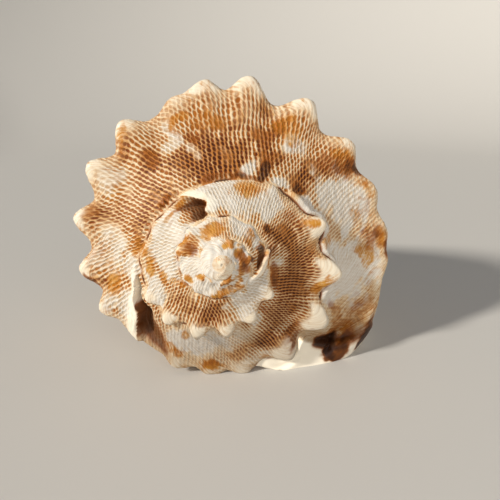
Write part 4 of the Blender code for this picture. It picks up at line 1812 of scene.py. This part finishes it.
@dataclass(frozen=True)
class Studio:
    """Floor, lights and camera."""

    camera_at: Point = (4.569, -256.651, 113.182)
    camera_down: float = 17.0
    lens: float = 40.32
    sensor: float = 36.0
    nearest: float = 0.01
    sweep_from: float = 0.7
    sweep_radius: float = 0.8
    sweep_angle: float = 1.35
    sweep_steps: int = 16
    sweep_parts: int = 96
    floor: Colour = (0.62, 0.60, 0.57, 1.0)
    floor_roughness: float = 0.7
    key: Lamp = Lamp("key", LampKind.FAR, (-0.73, -0.50, 0.47), 7.0, 3.5, (1.0, 0.95, 0.86, 1.0))
    fill: Lamp = Lamp("fill", LampKind.SQUARE, (0.22, -0.72, 0.34), 0.4, 1.4, (1.0, 0.97, 0.94, 1.0))
    middle: Point = (0.0, 0.0, 0.04)
    sky: Colour = (0.9, 0.92, 0.95, 1.0)
    sky_strength: float = 0.22

    def build(self) -> None:
        """Set up the whole studio."""
        self.add_floor()
        self.add_lights()
        self.add_camera()

    def add_floor(self) -> None:
        """Lay the plain pale floor, which sweeps up all round at a distance."""
        bm = bmesh.new()
        profile = [bm.verts.new((0.0, 0.0, 0.0)), bm.verts.new((self.sweep_from, 0.0, 0.0))]
        for step in range(1, self.sweep_steps + 1):
            angle = self.sweep_angle * step / self.sweep_steps
            out, up = self.sweep_radius * math.sin(angle), self.sweep_radius * (1.0 - math.cos(angle))
            profile.append(bm.verts.new((self.sweep_from + out, 0.0, up)))
        edges = [bm.edges.new(pair) for pair in zip(profile, profile[1:])]
        bmesh.ops.spin(bm, geom=profile + edges, axis=(0.0, 0.0, 1.0), cent=(0.0, 0.0, 0.0),
                       angle=2 * math.pi, steps=self.sweep_parts, use_merge=True)
        bmesh.ops.remove_doubles(bm, verts=bm.verts, dist=WELD)
        bmesh.ops.recalc_face_normals(bm, faces=bm.faces)
        floor = finish_mesh(bm, "floor")
        values = {"Base Color": self.floor, "Roughness": self.floor_roughness}
        floor.data.materials.append(Paint("floor").finish(values))

    def add_lights(self) -> None:
        """Hang the lamps and set the pale surroundings."""
        self.key.add((0.0, 0.0, 0.0))
        self.fill.add(self.middle)
        world = bpy.data.worlds.new("surroundings")
        bpy.context.scene.world = world
        world.use_nodes = True
        sockets = world.node_tree.nodes["Background"].inputs
        sockets["Color"].default_value = self.sky
        sockets["Strength"].default_value = self.sky_strength
        bpy.context.scene.view_settings.view_transform = "Standard"

    def add_camera(self) -> None:
        """Stand the camera where the photograph was taken from."""
        data = bpy.data.cameras.new("camera")
        data.lens = self.lens
        data.sensor_width = self.sensor
        data.clip_start = self.nearest
        camera = add_object("camera", data)
        camera.location = [value * MILLIMETRE for value in self.camera_at]
        camera.rotation_euler = (math.radians(90.0 - self.camera_down), 0.0, 0.0)
        bpy.context.scene.camera = camera


def main() -> None:
    """Load the frame and dress it."""
    logging.basicConfig(level=logging.INFO, format="%(message)s")
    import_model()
    Studio().build()
    LOG.info("studio: floor, lights and camera")
    shell = HelmetShell()
    piece = shell.build()
    piece.data.materials.append(ShellFinish().make(shell.coat.net))
    piece.data.calc_loop_triangles()
    LOG.info("%s: %d triangles", piece.name, len(piece.data.loop_triangles))
    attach(piece, "root")
    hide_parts("shell")


if __name__ == "__main__":
    main()
